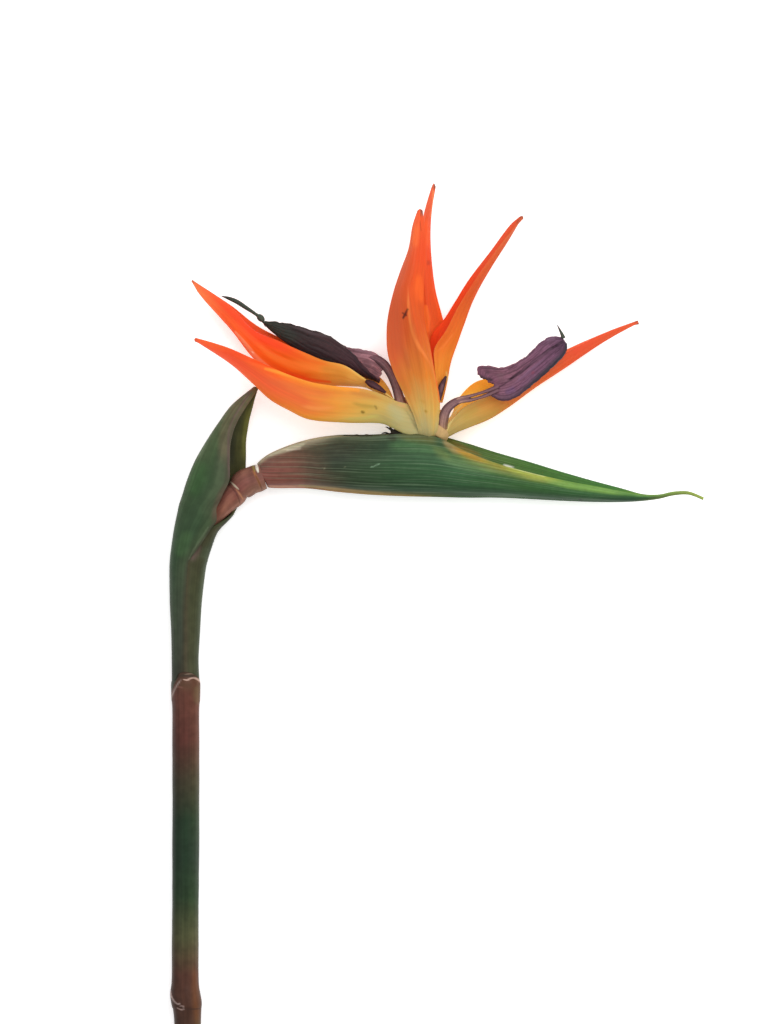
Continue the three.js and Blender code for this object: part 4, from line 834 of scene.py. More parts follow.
def smooth_line(points, steps):
    """Evenly spaced points along a centripetal Catmull-Rom line through the given points."""
    knots = np.array(points, float)
    knots = np.vstack([2 * knots[0] - knots[1], knots, 2 * knots[-1] - knots[-2]])
    share = np.linspace(0, 1, KNOT_STEPS, endpoint=False)[:, None]
    dense = []
    for before, start, end, after in zip(knots, knots[1:], knots[2:], knots[3:]):
        gaps = [max(np.linalg.norm(b - a) ** 0.5, 1e-6)
                for a, b in ((before, start), (start, end), (end, after))]
        leave = gaps[1] * ((start - before) / gaps[0] - (end - before) / (gaps[0] + gaps[1])
                           + (end - start) / gaps[1])
        arrive = gaps[1] * ((end - start) / gaps[1] - (after - start) / (gaps[1] + gaps[2])
                            + (after - end) / gaps[2])
        dense.append(start + leave * share + (3 * (end - start) - 2 * leave - arrive) * share ** 2
                     + (2 * (start - end) + leave + arrive) * share ** 3)
    dense = np.vstack([*dense, knots[-2]])
    travelled = lengths_along(dense)
    wanted = np.linspace(0, travelled[-1], steps + 1)
    return np.stack([np.interp(wanted, travelled, column) for column in dense.T], axis=1)


def lengths_along(points):
    """How far along the line each point lies."""
    return np.concatenate([[0], np.cumsum(np.linalg.norm(np.diff(points, axis=0), axis=1))])


def smooth_rows(stations, steps):
    """Rows of plain numbers, smoothed from station to station."""
    knots = np.array([np.hstack(station) for station in stations], float)
    last = len(knots) - 1
    place = np.linspace(0, last, steps + 1)
    index = np.minimum(place.astype(int), last - 1)
    share = (place - index)[:, None]
    a, b, c, d = (knots[np.clip(index + k, 0, last)] for k in (-1, 0, 1, 2))
    bend = 2 * a - 5 * b + 4 * c - d + share * (3 * (b - c) + d - a)
    return b + 0.5 * share * (c - a + share * bend)


def together(x, y, z):
    """Points from their coordinates, each spread over the whole grid."""
    return np.stack(np.broadcast_arrays(x, y, z), axis=2)


def unit(vectors):
    """The vectors at length one."""
    return vectors / np.maximum(np.linalg.norm(vectors, axis=-1, keepdims=True), 1e-9)


def grid_normals(grid):
    """The direction square to a grid of points, at each point."""
    return unit(np.cross(np.gradient(grid, axis=0), np.gradient(grid, axis=1)))


def smoothstep(value, low, high):
    """An even step from 0 at low to 1 at high."""
    share = np.clip((np.asarray(value, float) - low) / (high - low), 0, 1)
    return share * share * (3 - 2 * share)


def hump(value, middle, width):
    """A soft bump of height 1 round the middle."""
    return np.exp(-((value - middle) / width) ** 2)


def distance_from(place, line):
    """How far each place lies from a line as seen from above, and how far along the line."""
    line = smooth_line(line, STROKE_STEPS * len(line))
    travelled = lengths_along(line)
    flat = place[..., :2]
    nearest, share = np.full(flat.shape[:-1], 1e9), np.zeros(flat.shape[:-1])
    for start, end, before, after in zip(line, line[1:], travelled, travelled[1:]):
        run = end - start
        part = np.clip((flat - start) @ run / (run @ run), 0, 1)
        gap = np.linalg.norm(flat - start - part[..., None] * run, axis=-1)
        closer = gap < nearest
        nearest = np.where(closer, gap, nearest)
        share = np.where(closer, (before + part * (after - before)) / travelled[-1], share)
    return nearest, share


def fold_heights(place, node):
    """How far the piece's soft folds lift each place."""
    height = np.zeros(place.shape[:-1])
    for line, width, rise in FOLDS.get(node, ()):
        gap, share = distance_from(place, line)
        ends = smoothstep(share, 0, 0.2) * smoothstep(share, 1, 0.8)
        height += rise * hump(gap, 0, width) * ends
    return height


def stroke_values(place, *nodes, covers=None):
    """How strongly each stroke of colour covers each place, where its layer is seen."""
    values = {}
    for layer, node in enumerate(nodes):
        for line, widths, softness, _, strength in STROKES.get(node, ()):
            gap, share = distance_from(place, line)
            width = np.interp(share, np.linspace(0, 1, len(widths)), widths)
            cover = strength * smoothstep(gap / width, 1 + softness, 1 - softness)
            if softness > SOFT_ENDS:
                cover = cover * smoothstep(share, -0.02, 0.25) * smoothstep(share, 1.02, 0.75)
            values[f"stroke_{len(values)}"] = cover if covers is None else cover * covers[layer]
    return values


def ripple(place, turns, seed):
    """A slow wandering line between about -1 and 1, the same for the same seed."""
    draw = np.random.default_rng(seed)
    total = np.zeros_like(place, float)
    for octave in range(RIPPLE_OCTAVES):
        pace = turns * (1 + octave * OCTAVE_GAIN)
        total += np.sin(2 * math.pi * (pace * place + draw.random())) / (octave + 1)
    return total / RIPPLE_PEAK


def blade_grid(shape, along, across):
    """Points of a folded blade: two halves that swell out between a keel and two margins."""
    near, keel, far = (smooth_line(shape[line], along)[:, None] for line in ("near", "keel", "far"))
    v = np.linspace(-1, 1, across + 1)[None, :, None]
    fold = np.abs(v) ** shape.get("crease", 1)
    grid = keel + (far - near) * v / 2 + ((near + far) / 2 - keel) * fold
    half = np.where(v < 0, np.linalg.norm(keel - near, axis=2, keepdims=True),
                    np.linalg.norm(keel - far, axis=2, keepdims=True))
    bulge = shape.get("swell", 0) * half * 2 * np.abs(v) * (1 - np.abs(v))
    return grid + grid_normals(grid) * bulge


def blade_shares(rows, columns):
    """Shares of a blade's width, from -1 to 1, and of its length, from 0 to 1."""
    return np.linspace(-1, 1, columns + 1)[None, :], np.linspace(0, 1, rows + 1)[:, None]


def lifted(grid, height):
    """The grid raised to the side that faces up."""
    up = grid_normals(grid)
    return grid + up * (np.sign(up[..., 2]) * height)[..., None]


def thinned(share, amount):
    """How thick a blade is, thinner by the amount at both margins."""
    return 1 - amount * np.abs(share) ** 4


def round_turn(sides):
    """Angles evenly round a ring."""
    return np.linspace(0, 2 * math.pi, sides, endpoint=False)[None, :]


def ellipse_rings(centres, half_widths, half_depths, sides):
    """Elliptic rings square to the line of centres, with their widths level."""
    travel = unit(np.gradient(centres, axis=0))
    side = unit(np.stack([travel[:, 1], -travel[:, 0], np.zeros(len(travel))], axis=1))
    up = np.cross(side, travel)
    turn = round_turn(sides)
    across = side[:, None] * (half_widths[:, None] * np.cos(turn))[..., None]
    rise = up[:, None] * (half_depths[:, None] * np.sin(turn))[..., None]
    return centres[:, None] + across + rise


# ---------- meshes ----------

SHARP_ANGLE = 62  # degrees between faces that meet in a sharp edge
LEAST_HALF = 0.05  # the thinnest a rod gets from its middle


def ring_mesh(name, rings, values, is_sheet=False):
    """A closed mesh from rows of rings, with a value or vector at each point for each name."""
    rows, count = rings.shape[:2]
    index = np.arange(rows * count).reshape(rows, count)
    turned = np.roll(index, -1, axis=1)
    faces = np.stack([index[:-1], turned[:-1], turned[1:], index[1:]], axis=2)
    faces = faces.reshape(-1, 4).tolist()
    for ring, first in ((index[0], True), (index[-1], False)):
        if is_sheet:
            half = count // 2
            cap = [(ring[j], ring[-1 - j], ring[-2 - j], ring[j + 1]) for j in range(half - 1)]
        else:
            cap = [tuple(ring[::-1])]
        faces += [face if first else face[::-1] for face in cap]
    mesh = bpy.data.meshes.new(name)
    mesh.from_pydata((rings.reshape(-1, 3) * MM).tolist(), [], faces)
    for key, value in values.items():
        value = np.broadcast_to(value, rings.shape if np.ndim(value) == 3 else (rows, count))
        kind, field = ("FLOAT_VECTOR", "vector") if value.ndim == 3 else ("FLOAT", "value")
        attribute = mesh.attributes.new(key, kind, "POINT")
        attribute.data.foreach_set(field, np.ascontiguousarray(value, np.float32).ravel())
    mesh.update()
    mesh.shade_smooth()
    mesh.set_sharp_from_angle(angle=math.radians(SHARP_ANGLE))
    return mesh


def show(name, mesh, skin, takes_node=True):
    """Puts the mesh in the scene on the flower's body, in place of the plain node of its name."""
    mesh.materials.append(skin)
    piece = bpy.data.objects.new("fine_" + name, mesh)
    bpy.context.scene.collection.objects.link(piece)
    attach(piece, BODY)
    if takes_node:
        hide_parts(name)


def sheet_mesh(name, grid, walls, values):
    """A closed sheet round a grid, walls thick at each point."""
    shift = grid_normals(grid) * walls[..., None] / 2
    rings = np.concatenate([grid + shift, (grid - shift)[:, ::-1]], axis=1)
    both = {key: np.concatenate([value, value[:, ::-1]], axis=1) for key, value in values.items()}
    return ring_mesh(name, rings, both, is_sheet=True)


def blade_values(grid, node):
    """Where each point of a blade lies along and across it, its straightened place and strokes."""
    rows, columns = grid.shape[:2]
    across, along = np.broadcast_arrays(*blade_shares(rows - 1, columns - 1))
    keel = lengths_along(grid[:, columns // 2])[:, None]
    grain = together(across * BLADE_GRAIN, np.zeros_like(across), keel)
    return {"along": along, "across": across, "grain": grain * MM, **stroke_values(grid, node)}


def tube_values(centres, radius, sides):
    """Where each point of a tube lies along and across it, and its straightened place."""
    rows = len(centres)
    length = lengths_along(centres)[:, None]
    turn = round_turn(sides)
    grain = together(radius * np.cos(turn), radius * np.sin(turn), length)
    return {
        "along": np.repeat(np.linspace(0, 1, rows)[:, None], sides, axis=1),
        "across": np.repeat(np.cos(turn), rows, axis=0),
        "grain": grain * MM,
    }


def rod_mesh(name, stations, steps, sides, radius):
    """A closed rod through stations of centre, half width and half depth."""
    rows = smooth_rows(stations, steps)
    half_widths, half_depths = np.maximum(rows[:, 3:5], LEAST_HALF).T
    rings = ellipse_rings(rows[:, :3], half_widths, half_depths, sides)
    return ring_mesh(name, rings, tube_values(rows[:, :3], radius, sides))


# ---------- materials ----------

LEAF_GLOSS = 0.1
PETAL_GLOSS = 0.14
SKIN_DEPTH = 1.5  # how deep light goes into a petal
NOISE_RANGE = (0.3, 0.7)  # what a noise round 0.5 mostly keeps to


def colour(code):
    """A linear colour from a six-figure colour code, by the usual screen curve."""
    parts = [int(code[i:i + 2], 16) / 255 for i in (0, 2, 4)]
    return [p / 12.92 if p <= 0.04045 else ((p + 0.055) / 1.055) ** 2.4 for p in parts] + [1.0]


class Paint:
    """One material's node tree, built a step at a time."""

    def __init__(self, name, roughness=0.5, subsurface=0.0, gloss=0.22):
        self.material = bpy.data.materials.new(name)
        self.material.use_nodes = True
        self.tree = self.material.node_tree
        self.shader = self.tree.nodes["Principled BSDF"]
        self.shader.inputs["Roughness"].default_value = roughness
        self.shader.inputs["Subsurface Weight"].default_value = subsurface
        self.shader.inputs["Subsurface Scale"].default_value = SKIN_DEPTH * MM
        self.shader.inputs["Specular IOR Level"].default_value = gloss

    def node(self, kind, *values, **settings):
        """A node with its settings, its inputs linked or set in order."""
        made = self.tree.nodes.new(kind)
        for key, setting in settings.items():
            setattr(made, key, setting)
        for socket, value in zip(made.inputs, values):
            self.feed(socket, value)
        return made

    def feed(self, socket, value):
        """Links a socket to another, or sets it."""
        if isinstance(value, bpy.types.NodeSocket):
            self.tree.links.new(value, socket)
        elif value is not None:
            socket.default_value = value

    def attribute(self, name, output="Fac"):
        """A value that the mesh holds at each point."""
        return self.node("ShaderNodeAttribute", attribute_name=name).outputs[output]

    def math(self, operation, *values):
        """Sums with sockets and numbers."""
        return self.node("ShaderNodeMath", *values, operation=operation).outputs[0]

    def swayed(self, place, flow, reach):
        """A place shifted a little to and fro by a noise round 0.5."""
        shift = self.math("MULTIPLY", self.math("SUBTRACT", flow, 0.5), reach)
        return self.math("ADD", place, shift)

    def step(self, value, low, high, to_low=0.0, to_high=1.0):
        """A soft step of a value from low to high."""
        made = self.node("ShaderNodeMapRange", value, low, high, to_low, to_high,
                         interpolation_type="SMOOTHSTEP")
        return made.outputs[0]

    def share_between(self, name, low, high):
        """How far a named length lies between low and high."""
        made = self.node("ShaderNodeMapRange", self.attribute(name), low, high, 0.0, 1.0)
        return made.outputs[0]

    def ramp(self, value, stops):
        """Colours by place: stops are (place, colour code)."""
        made = self.node("ShaderNodeValToRGB", value)
        elements = made.color_ramp.elements
        while len(elements) < len(stops):
            elements.new(0.5)
        for element, (place, code) in zip(elements, stops):
            element.position = place
            element.color = colour(code)
        return made.outputs["Color"]

    def mix(self, share, first, second, blend="MIX"):
        """Two colours mixed, each a socket, a colour or a colour code."""
        made = self.tree.nodes.new("ShaderNodeMix")
        made.data_type = "RGBA"
        made.blend_type = blend
        sockets = (made.inputs[0], made.inputs[6], made.inputs[7])
        for socket, value in zip(sockets, (share, first, second)):
            self.feed(socket, colour(value) if isinstance(value, str) else value)
        return made.outputs[2]

    def noise(self, across, along, detail=3.0, distortion=0.0):
        """Streaky noise that runs with the piece, round 0.5, by its turns in a metre each way."""
        scales = (across, across, along)
        grain = self.attribute("grain", "Vector")
        stretched = self.node("ShaderNodeMapping", grain, None, None, scales, vector_type="POINT")
        made = self.tree.nodes.new("ShaderNodeTexNoise")
        self.feed(made.inputs["Vector"], stretched.outputs[0])
        made.inputs["Scale"].default_value = 1.0
        made.inputs["Detail"].default_value = detail
        made.inputs["Distortion"].default_value = distortion
        return made.outputs[0]

    def even_noise(self, scale, detail=3.0):
        """Noise that is alike in every direction."""
        made = self.tree.nodes.new("ShaderNodeTexNoise")
        place = self.tree.nodes.new("ShaderNodeTexCoord")
        self.feed(made.inputs["Vector"], place.outputs["Object"])
        made.inputs["Scale"].default_value = scale
        made.inputs["Detail"].default_value = detail
        return made.outputs[0]

    def bump(self, height, depth):
        """Fine relief, depth in metres."""
        made = self.tree.nodes.new("ShaderNodeBump")
        made.inputs["Strength"].default_value = 1.0
        made.inputs["Distance"].default_value = depth
        self.feed(made.inputs["Height"], height)
        if self.shader.inputs["Normal"].is_linked:
            self.feed(made.inputs["Normal"], self.shader.inputs["Normal"].links[0].from_socket)
        self.feed(self.shader.inputs["Normal"], made.outputs["Normal"])

    def finish(self, base, flow=None, rough=None):
        """Sets the colour, lets the roughness vary with a noise, and gives the material."""
        self.feed(self.shader.inputs["Base Color"], base)
        if flow is not None:
            self.feed(self.shader.inputs["Roughness"], self.step(flow, *NOISE_RANGE, *rough))
        return self.material


def banded(paint, place, across, bands):
    """Colour ramps along the piece, blended from band to band across it."""
    (last_v, stops), *rest = bands
    mixed = paint.ramp(place, stops)
    for v, stops in rest:
        share = paint.step(across, last_v, v)
        mixed = paint.mix(share, mixed, paint.ramp(place, stops))
        last_v = v
    return mixed


def tinted(paint, base, streak, depth):
    """The base made lighter and darker by a streak that lies round 0.5."""
    shade = paint.step(streak, *NOISE_RANGE, 1 - depth, 1 + depth)
    grey = paint.node("ShaderNodeCombineColor", shade, shade, shade).outputs[0]
    return paint.mix(1.0, base, grey, blend="MULTIPLY")


def stroked(paint, base, *nodes):
    """The base with each stroke of colour laid over it, a little unevenly, painted highlights and
    shadow among them.
    """
    uneven = paint.step(paint.noise(420, 70), 0.3, 0.55, 0.75, 1.0)
    strokes = [stroke for node in nodes for stroke in STROKES.get(node, ())]
    for index, stroke in enumerate(strokes):
        share = paint.math("MULTIPLY", paint.attribute(f"stroke_{index}"), uneven)
        base = paint.mix(share, base, stroke[3])
    return base


def sepal_skin(node, dry_tip):
    """Satin petal: colour runs from the foot to the tip, with faint veins and soft strokes, some of
    them painted highlights.
    """
    paint = Paint("orange_" + node, subsurface=0.08, gloss=PETAL_GLOSS)
    flow = paint.noise(260, 26)
    place = paint.swayed(paint.attribute("along"), flow, 0.16)
    base = banded(paint, place, paint.attribute("across"), SEPAL_BANDS[node])
    base = tinted(paint, base, paint.noise(330, 36, detail=2), 0.05)
    base = tinted(paint, base, paint.noise(1500, 26), 0.035)
    base = stroked(paint, base, node)
    base = paint.mix(paint.step(place, DRY_SHARE[node], 1.01), base, dry_tip)
    paint.bump(paint.noise(1100, 26), 0.04 * MM)
    paint.bump(paint.noise(2600, 60), 0.02 * MM)
    return paint.finish(base, flow, (0.4, 0.52))


def leaf_skin(name, bands, streaks, fibre, rough, strokes=()):
    """Satin leaf: bands of colour with fine paler fibres that run lengthwise."""
    paint = Paint(name, gloss=LEAF_GLOSS)
    flow = paint.noise(170, 22, detail=4)
    place = paint.swayed(paint.attribute("along"), flow, 0.12)
    across = paint.swayed(paint.attribute("across"), flow, 0.1)
    base = banded(paint, place, across, bands)
    fibres = paint.noise(*fibre, detail=2)
    base = stroked(paint, base, *strokes)
    base = tinted(paint, base, fibres, streaks)
    base = tinted(paint, base, paint.even_noise(260, detail=4), 0.10)
    paint.bump(fibres, 0.07 * MM)
    paint.bump(paint.even_noise(2200), 0.03 * MM)
    return paint.finish(base, flow, rough)


def petal_skin(name, bands, wrinkle=0.1, strokes=()):
    """Dark satin petal with lengthwise wrinkles."""
    paint = Paint(name, gloss=PETAL_GLOSS)
    flow = paint.noise(300, 60, detail=4)
    place = paint.swayed(paint.attribute("along"), flow, 0.12)
    base = banded(paint, place, paint.attribute("across"), bands)
    folds = paint.noise(1300, 34, detail=3, distortion=0.3)
    base = tinted(paint, base, folds, 0.28)
    base = tinted(paint, base, paint.even_noise(900), 0.10)
    base = stroked(paint, base, *strokes)
    paint.bump(folds, wrinkle * MM)
    paint.bump(paint.even_noise(2600), 0.04 * MM)
    return paint.finish(base, flow, (0.45, 0.6))


def stem_skin():
    """Satin stalk, dark green with a red-brown foot and neck, pale lines at the leaf scars, its left
    side painted darker as shade and its right side lighter as light, and painted highlights on the
    neck's rings.
    """
    paint = Paint("stalk_skin", gloss=LEAF_GLOSS)
    flow = paint.noise(120, 14, detail=4)
    place = paint.swayed(paint.share_between("place", -225 * MM, 44 * MM), flow, 0.03)
    base = banded(paint, place, paint.attribute("across"), STEM_BANDS)
    fibres = paint.noise(700, 12, detail=3)
    base = tinted(paint, base, fibres, 0.12)
    base = tinted(paint, base, paint.even_noise(300, detail=5), 0.12)
    base = stroked(paint, base, "stem")
    paint.bump(fibres, 0.08 * MM)
    return paint.finish(base, flow, (0.36, 0.5))


def spathe_skin(pale_thread):
    """Satin leaf: reddish at its base, deep green along the beak, yellow at the lips, with a painted
    highlight along the near lip's inner edge.
    """
    paint = Paint("spathe_skin", gloss=LEAF_GLOSS)
    flow = paint.noise(90, 16, detail=4)
    place = paint.swayed(paint.share_between("place", 28 * MM, 218 * MM), flow, 0.06)
    across = paint.swayed(paint.attribute("across"), flow, 0.12)
    base = banded(paint, place, across, SPATHE_BANDS)
    base = stroked(paint, base, "spathe_near", "spathe_groove")
    fibres = paint.noise(1500, 18, detail=2)
    base = tinted(paint, base, fibres, 0.18)
    base = tinted(paint, base, paint.noise(3000, 70, detail=2), 0.08)
    threads = paint.step(paint.noise(1900, 26, detail=2), 0.53, 0.66)
    base = paint.mix(paint.math("MULTIPLY", threads, 0.2), base, pale_thread)
    base = tinted(paint, base, paint.even_noise(450), 0.06)
    paint.bump(fibres, 0.07 * MM)
    return paint.finish(base, flow, (0.38, 0.5))


# ---------- the pieces ----------

def make_stem(settings):
    """Round stalk with its two leaf scars, bending into the neck that carries the spathe."""
    rows = smooth_rows(STALK, settings.rows)
    centres, radius = rows[:, :3], rows[:, 3]
    turn = round_turn(settings.sides)
    y = rows[:, 1:2]
    sway = 0.012 * ripple(y / 60 + 0 * turn, turns=1.5, seed=3)
    relief = 1 + sway + 0.008 * np.sin(5 * turn + y / 30)
    rings = ellipse_rings(centres, np.ones(len(rows)), np.ones(len(rows)), settings.sides)
    spokes = rings - centres[:, None]
    on_top = smoothstep(spokes[..., 2], -0.1, 0.3)
    rings = centres[:, None] + spokes * (radius[:, None] * relief)[..., None]
    lift = fold_heights(rings, "stem") * on_top
    rings = rings + spokes * lift[..., None]
    rings[..., 2] = np.maximum(rings[..., 2], 0)
    values = {
        **tube_values(centres, STALK_RADIUS, settings.sides),
        "place": np.broadcast_to(y * MM, rings.shape[:2]),
        **stroke_values(rings, "stem", covers=[on_top]),
    }
    show("stem", ring_mesh("fine_stem", rings, values), stem_skin())


def make_sheath(settings):
    """The leaf sheath that wraps the stalk, its outer edge lapping over its inner layer."""
    rows = smooth_rows(SHEATH, settings.rows)
    y, left, half_width, half_depth, height, near, far, lap = (rows[:, i:i + 1] for i in range(8))
    share = np.linspace(0, 1, settings.columns + 1)[None, :]
    angle = near + (far - near) * share
    tuck = lap * SHEATH_LAP * smoothstep(-angle, *TUCK_ANGLES)
    turn = np.radians(angle)
    rise = SHEATH_RISE * np.maximum(np.sin(turn), 0) ** 1.5
    arc = rise - SHEATH_DIP * smoothstep(np.cos(turn), 0.45, 1)
    arc = arc * smoothstep(y, SHEATH_FOOT_END, y[0])
    grid = together(
        left + half_width - (half_width - tuck) * np.cos(turn),
        y + arc,
        height + (half_depth - tuck) * np.sin(turn),
    )
    thin = EDGE_THINNING * smoothstep(lap, 0.1, 0.6) + EDGE_THINNING * smoothstep(y, *NECK_Y)
    edges = np.maximum(hump(share, 0, EDGE_BAND), hump(share, 1, EDGE_BAND))
    walls = SHEATH_WALL * (1 - np.minimum(thin, EDGE_THINNING) * edges)
    covers = [share < 0.5, share >= 0.5]
    values = {
        "along": np.broadcast_to((y - y[0]) / (y[-1] - y[0]), turn.shape),
        "across": np.broadcast_to(share, turn.shape),
        "grain": together(SHEATH_RADIUS * turn, 0 * turn, y) * MM,
        **stroke_values(grid, "sheath_near", "sheath_far", covers=covers),
    }
    mesh = sheet_mesh("fine_sheath", grid, walls, values)
    set_on_floor(mesh)
    skin = leaf_skin("sheath_skin", SHEATH_BANDS, 0.12, (900, 14), (0.4, 0.52),
                     strokes=("sheath_near", "sheath_far"))
    show("sheath_leaf", mesh, skin)


def set_on_floor(mesh):
    """Flattens what would dip under the floor."""
    points = np.empty(len(mesh.vertices) * 3, np.float32)
    mesh.vertices.foreach_get("co", points)
    points[2::3] = np.maximum(points[2::3], 0)
    mesh.vertices.foreach_set("co", points)


def make_spathe(settings):
    """The beak: a folded leaf whose two sides rise from a keel to lips that part along the top."""
    rows = smooth_rows(SPATHE, settings.rows)
    keel_x, keel_y, near_x, near_y, far_x, far_y, depth, height, opening, groove = (
        rows[:, i:i + 1] for i in range(10))
    share = np.linspace(0, 1, settings.wall_columns + 1)[None, :]
    shape = smooth_rows([(value,) for value in WALL_SHAPE], settings.wall_columns)[:, 0][None, :]
    out = shape * depth + (opening - shape * depth) * share ** LIP_POWER

    def wall(lip_x, lip_y, side):
        """One side, from the keel to its lip."""
        return together(keel_x + (lip_x - keel_x) * share, keel_y + (lip_y - keel_y) * share,
                        height + side * out)

    inside = np.linspace(-1, 1, settings.groove_columns + 2)[None, 1:-1]
    floor_y = np.minimum(near_y, far_y) - groove
    lip_y = np.where(inside < 0, near_y, far_y)
    hollow = together(
        (near_x + far_x) / 2 + (far_x - near_x) / 2 * inside,
        floor_y + (lip_y - floor_y) * np.abs(inside) ** GROOVE_POWER,
        height - opening * inside * (1 - GROOVE_WAIST * (1 - np.abs(inside))),
    )
    rings = np.concatenate(
        [wall(near_x, near_y, 1), hollow, wall(far_x, far_y, -1)[:, :0:-1]], axis=1)
    rings[..., 2] = np.maximum(rings[..., 2], 0)
    across = np.concatenate([
        share[0],
        np.linspace(*GROOVE_ACROSS, settings.groove_columns),
        2 + (1 - share[0, :0:-1]),
    ])[None, :]
    side_height = far_y - keel_y
    side_height = np.where(keel_x < TALLEST_X, np.maximum(side_height, LEAST_SIDE), side_height)
    level = (rings[..., 1] - keel_y) / side_height * SPATHE_GRAIN
    level = level + GROOVE_OFFSET * (across > NEAR_END)
    length = lengths_along(rows[:, :2])[:, None]
    grain = together(level, 0 * across, length)
    covers = [across < NEAR_END, (across > NEAR_END) & (across < FAR_START)]
    values = {
        "along": np.linspace(0, 1, len(rows))[:, None],
        "across": across,
        "grain": grain * MM,
        "place": rings[..., 0] * MM,
        **stroke_values(rings, "spathe_near", "spathe_groove", covers=covers),
    }
    skin = spathe_skin(settings.pale_thread)
    show("spathe", ring_mesh("fine_spathe", rings, values), skin)


def make_scraps():
    """The dried shreds left on the spathe's upper edge, at the florets' feet."""
    skin = petal_skin("dried_scraps", SCRAP_BANDS)
    for number, stations in enumerate(SCRAPS, 1):
        mesh = rod_mesh("fine_scrap", stations, SCRAP_STEPS, SCRAP_SIDES, THREAD_RADIUS)
        show(f"spathe_scrap_{number}", mesh, skin, takes_node=False)


def make_foot(settings, node):
    """The pale fleshy foot of a floret."""
    rows = smooth_rows(FEET[node], settings.rows)
    centres = rows[:, :3]
    rings = ellipse_rings(centres, rows[:, 3], rows[:, 4], settings.sides)
    folds = 1 + 0.05 * np.cos(3 * round_turn(settings.sides) + centres[:, 1:2] / 9)
    rings = centres[:, None] + (rings - centres[:, None]) * folds[..., None] * FOOT_SLIM
    mesh = ring_mesh("fine_foot", rings, tube_values(centres, FOOT_RADIUS, settings.sides))
    skin = leaf_skin("pale_base", FOOT_BANDS, 0.08, (700, 60), (0.45, 0.55))
    show(node, mesh, skin)


def make_sepal(settings, node):
    """A folded sepal: thin at its margins and its tip, with soft lengthwise pleats."""
    grid = blade_grid(SEPALS[node], settings.rows, settings.columns)
    share, along = blade_shares(settings.rows, settings.columns)
    seed = len(node) + sum(map(ord, node))
    wander = 0.05 * ripple(along, turns=1, seed=seed)
    pleats = settings.pleat_depth / MM * ripple(share + wander, turns=2.1, seed=seed)
    fade = smoothstep(along, 0, 0.1) * smoothstep(1 - along, 0, 0.18)
    grid = lifted(grid, pleats * fade + fold_heights(grid, node))
    half = np.linalg.norm(grid[:, :1] - grid[:, settings.columns // 2, None], axis=2)
    walls = np.clip(0.34 * half, 0.45, SEPAL_WALL) * thinned(share, 0.5)
    mesh = sheet_mesh("fine_sepal", grid, walls, blade_values(grid, node))
    show(node, mesh, sepal_skin(node, settings.dry_tip))


def make_tongue(settings, node):
    """A wrinkled tongue with a ragged margin and small nubs at its foot."""
    grid = blade_grid(TONGUES[node], settings.rows, settings.columns)
    share, along = blade_shares(settings.rows, settings.columns)
    seed = sum(map(ord, node))
    wander = 0.06 * ripple(along, turns=2.3, seed=seed)
    ridges = settings.ridge_depth / MM * ripple(share + wander, turns=5.5, seed=seed)
    fade = smoothstep(along, 0, 0.05) * smoothstep(1 - along, 0, 0.08)
    grid = lifted(grid, ridges * fade + fold_heights(grid, node))
    outward = unit(np.gradient(grid, axis=1)) * np.sign(share)[..., None]
    ragged = 0.16 * ripple(along, turns=9, seed=seed + 1) * np.abs(share) ** 3 * fade
    grid = grid + outward * ragged[..., None]
    nubs = 0.45 * ripple(share, turns=2.6, seed=seed + 2) * smoothstep(along, 0.06, 0)
    grid = grid + unit(np.gradient(grid, axis=0)) * nubs[..., None]
    walls = TONGUE_WALL * thinned(share, 0.45)
    mesh = sheet_mesh("fine_tongue", grid, walls, blade_values(grid, node))
    skin = petal_skin("purple_" + node, TONGUE_BANDS[node], wrinkle=0.15, strokes=(node,))
    show(node, mesh, skin)


def make_tongue_stalks(settings, node):
    """The strands that carry a tongue."""
    skin = petal_skin("purple_stalk_" + node, STRAND_BANDS)
    for number, stations in enumerate(TONGUES[node]["stalks"], 1):
        mesh = rod_mesh("fine_stalk", stations, settings.stalk_rows, settings.stalk_sides,
                        STRAND_RADIUS)
        show(f"{node}_strand_{number}", mesh, skin, takes_node=False)


def make_small_petal(settings, node):
    """The short dark petal at a tongue's foot."""
    rows, columns = settings.rows // 3, settings.columns // 2
    grid = blade_grid(SMALL_PETALS[node], rows, columns)
    share, _ = blade_shares(rows, columns)
    walls = PETAL_WALL * thinned(share, 0.45)
    mesh = sheet_mesh("fine_small_petal", grid, walls, blade_values(grid, node))
    skin = petal_skin("purple_" + node, SMALL_PETAL_BANDS, strokes=(node,))
    show(node, mesh, skin)


def make_style(settings, node):
    """The dark thread at a tongue's tip, with the knob at its foot."""
    mesh = rod_mesh("fine_style", STYLES[node], settings.rows, settings.stalk_sides, THREAD_RADIUS)
    show(node, mesh, petal_skin("dark_" + node, STYLE_BANDS, wrinkle=0.08))


# ---------- the stage ----------

# Each lamp's place and its side, in metres, and its share of the lamp power.
LAMPS = {
    "key_lamp": ((0.8, 1.0, 1.9), 1.9, 1),
    "fill_lamp": ((-1.3, -0.5, 1.9), 2.0, 0.4),
}
FLOOR_GAP = 0.1 * MM
SENSOR_WIDTH = 36  # millimetres
FAR_CLIP = 100  # metres


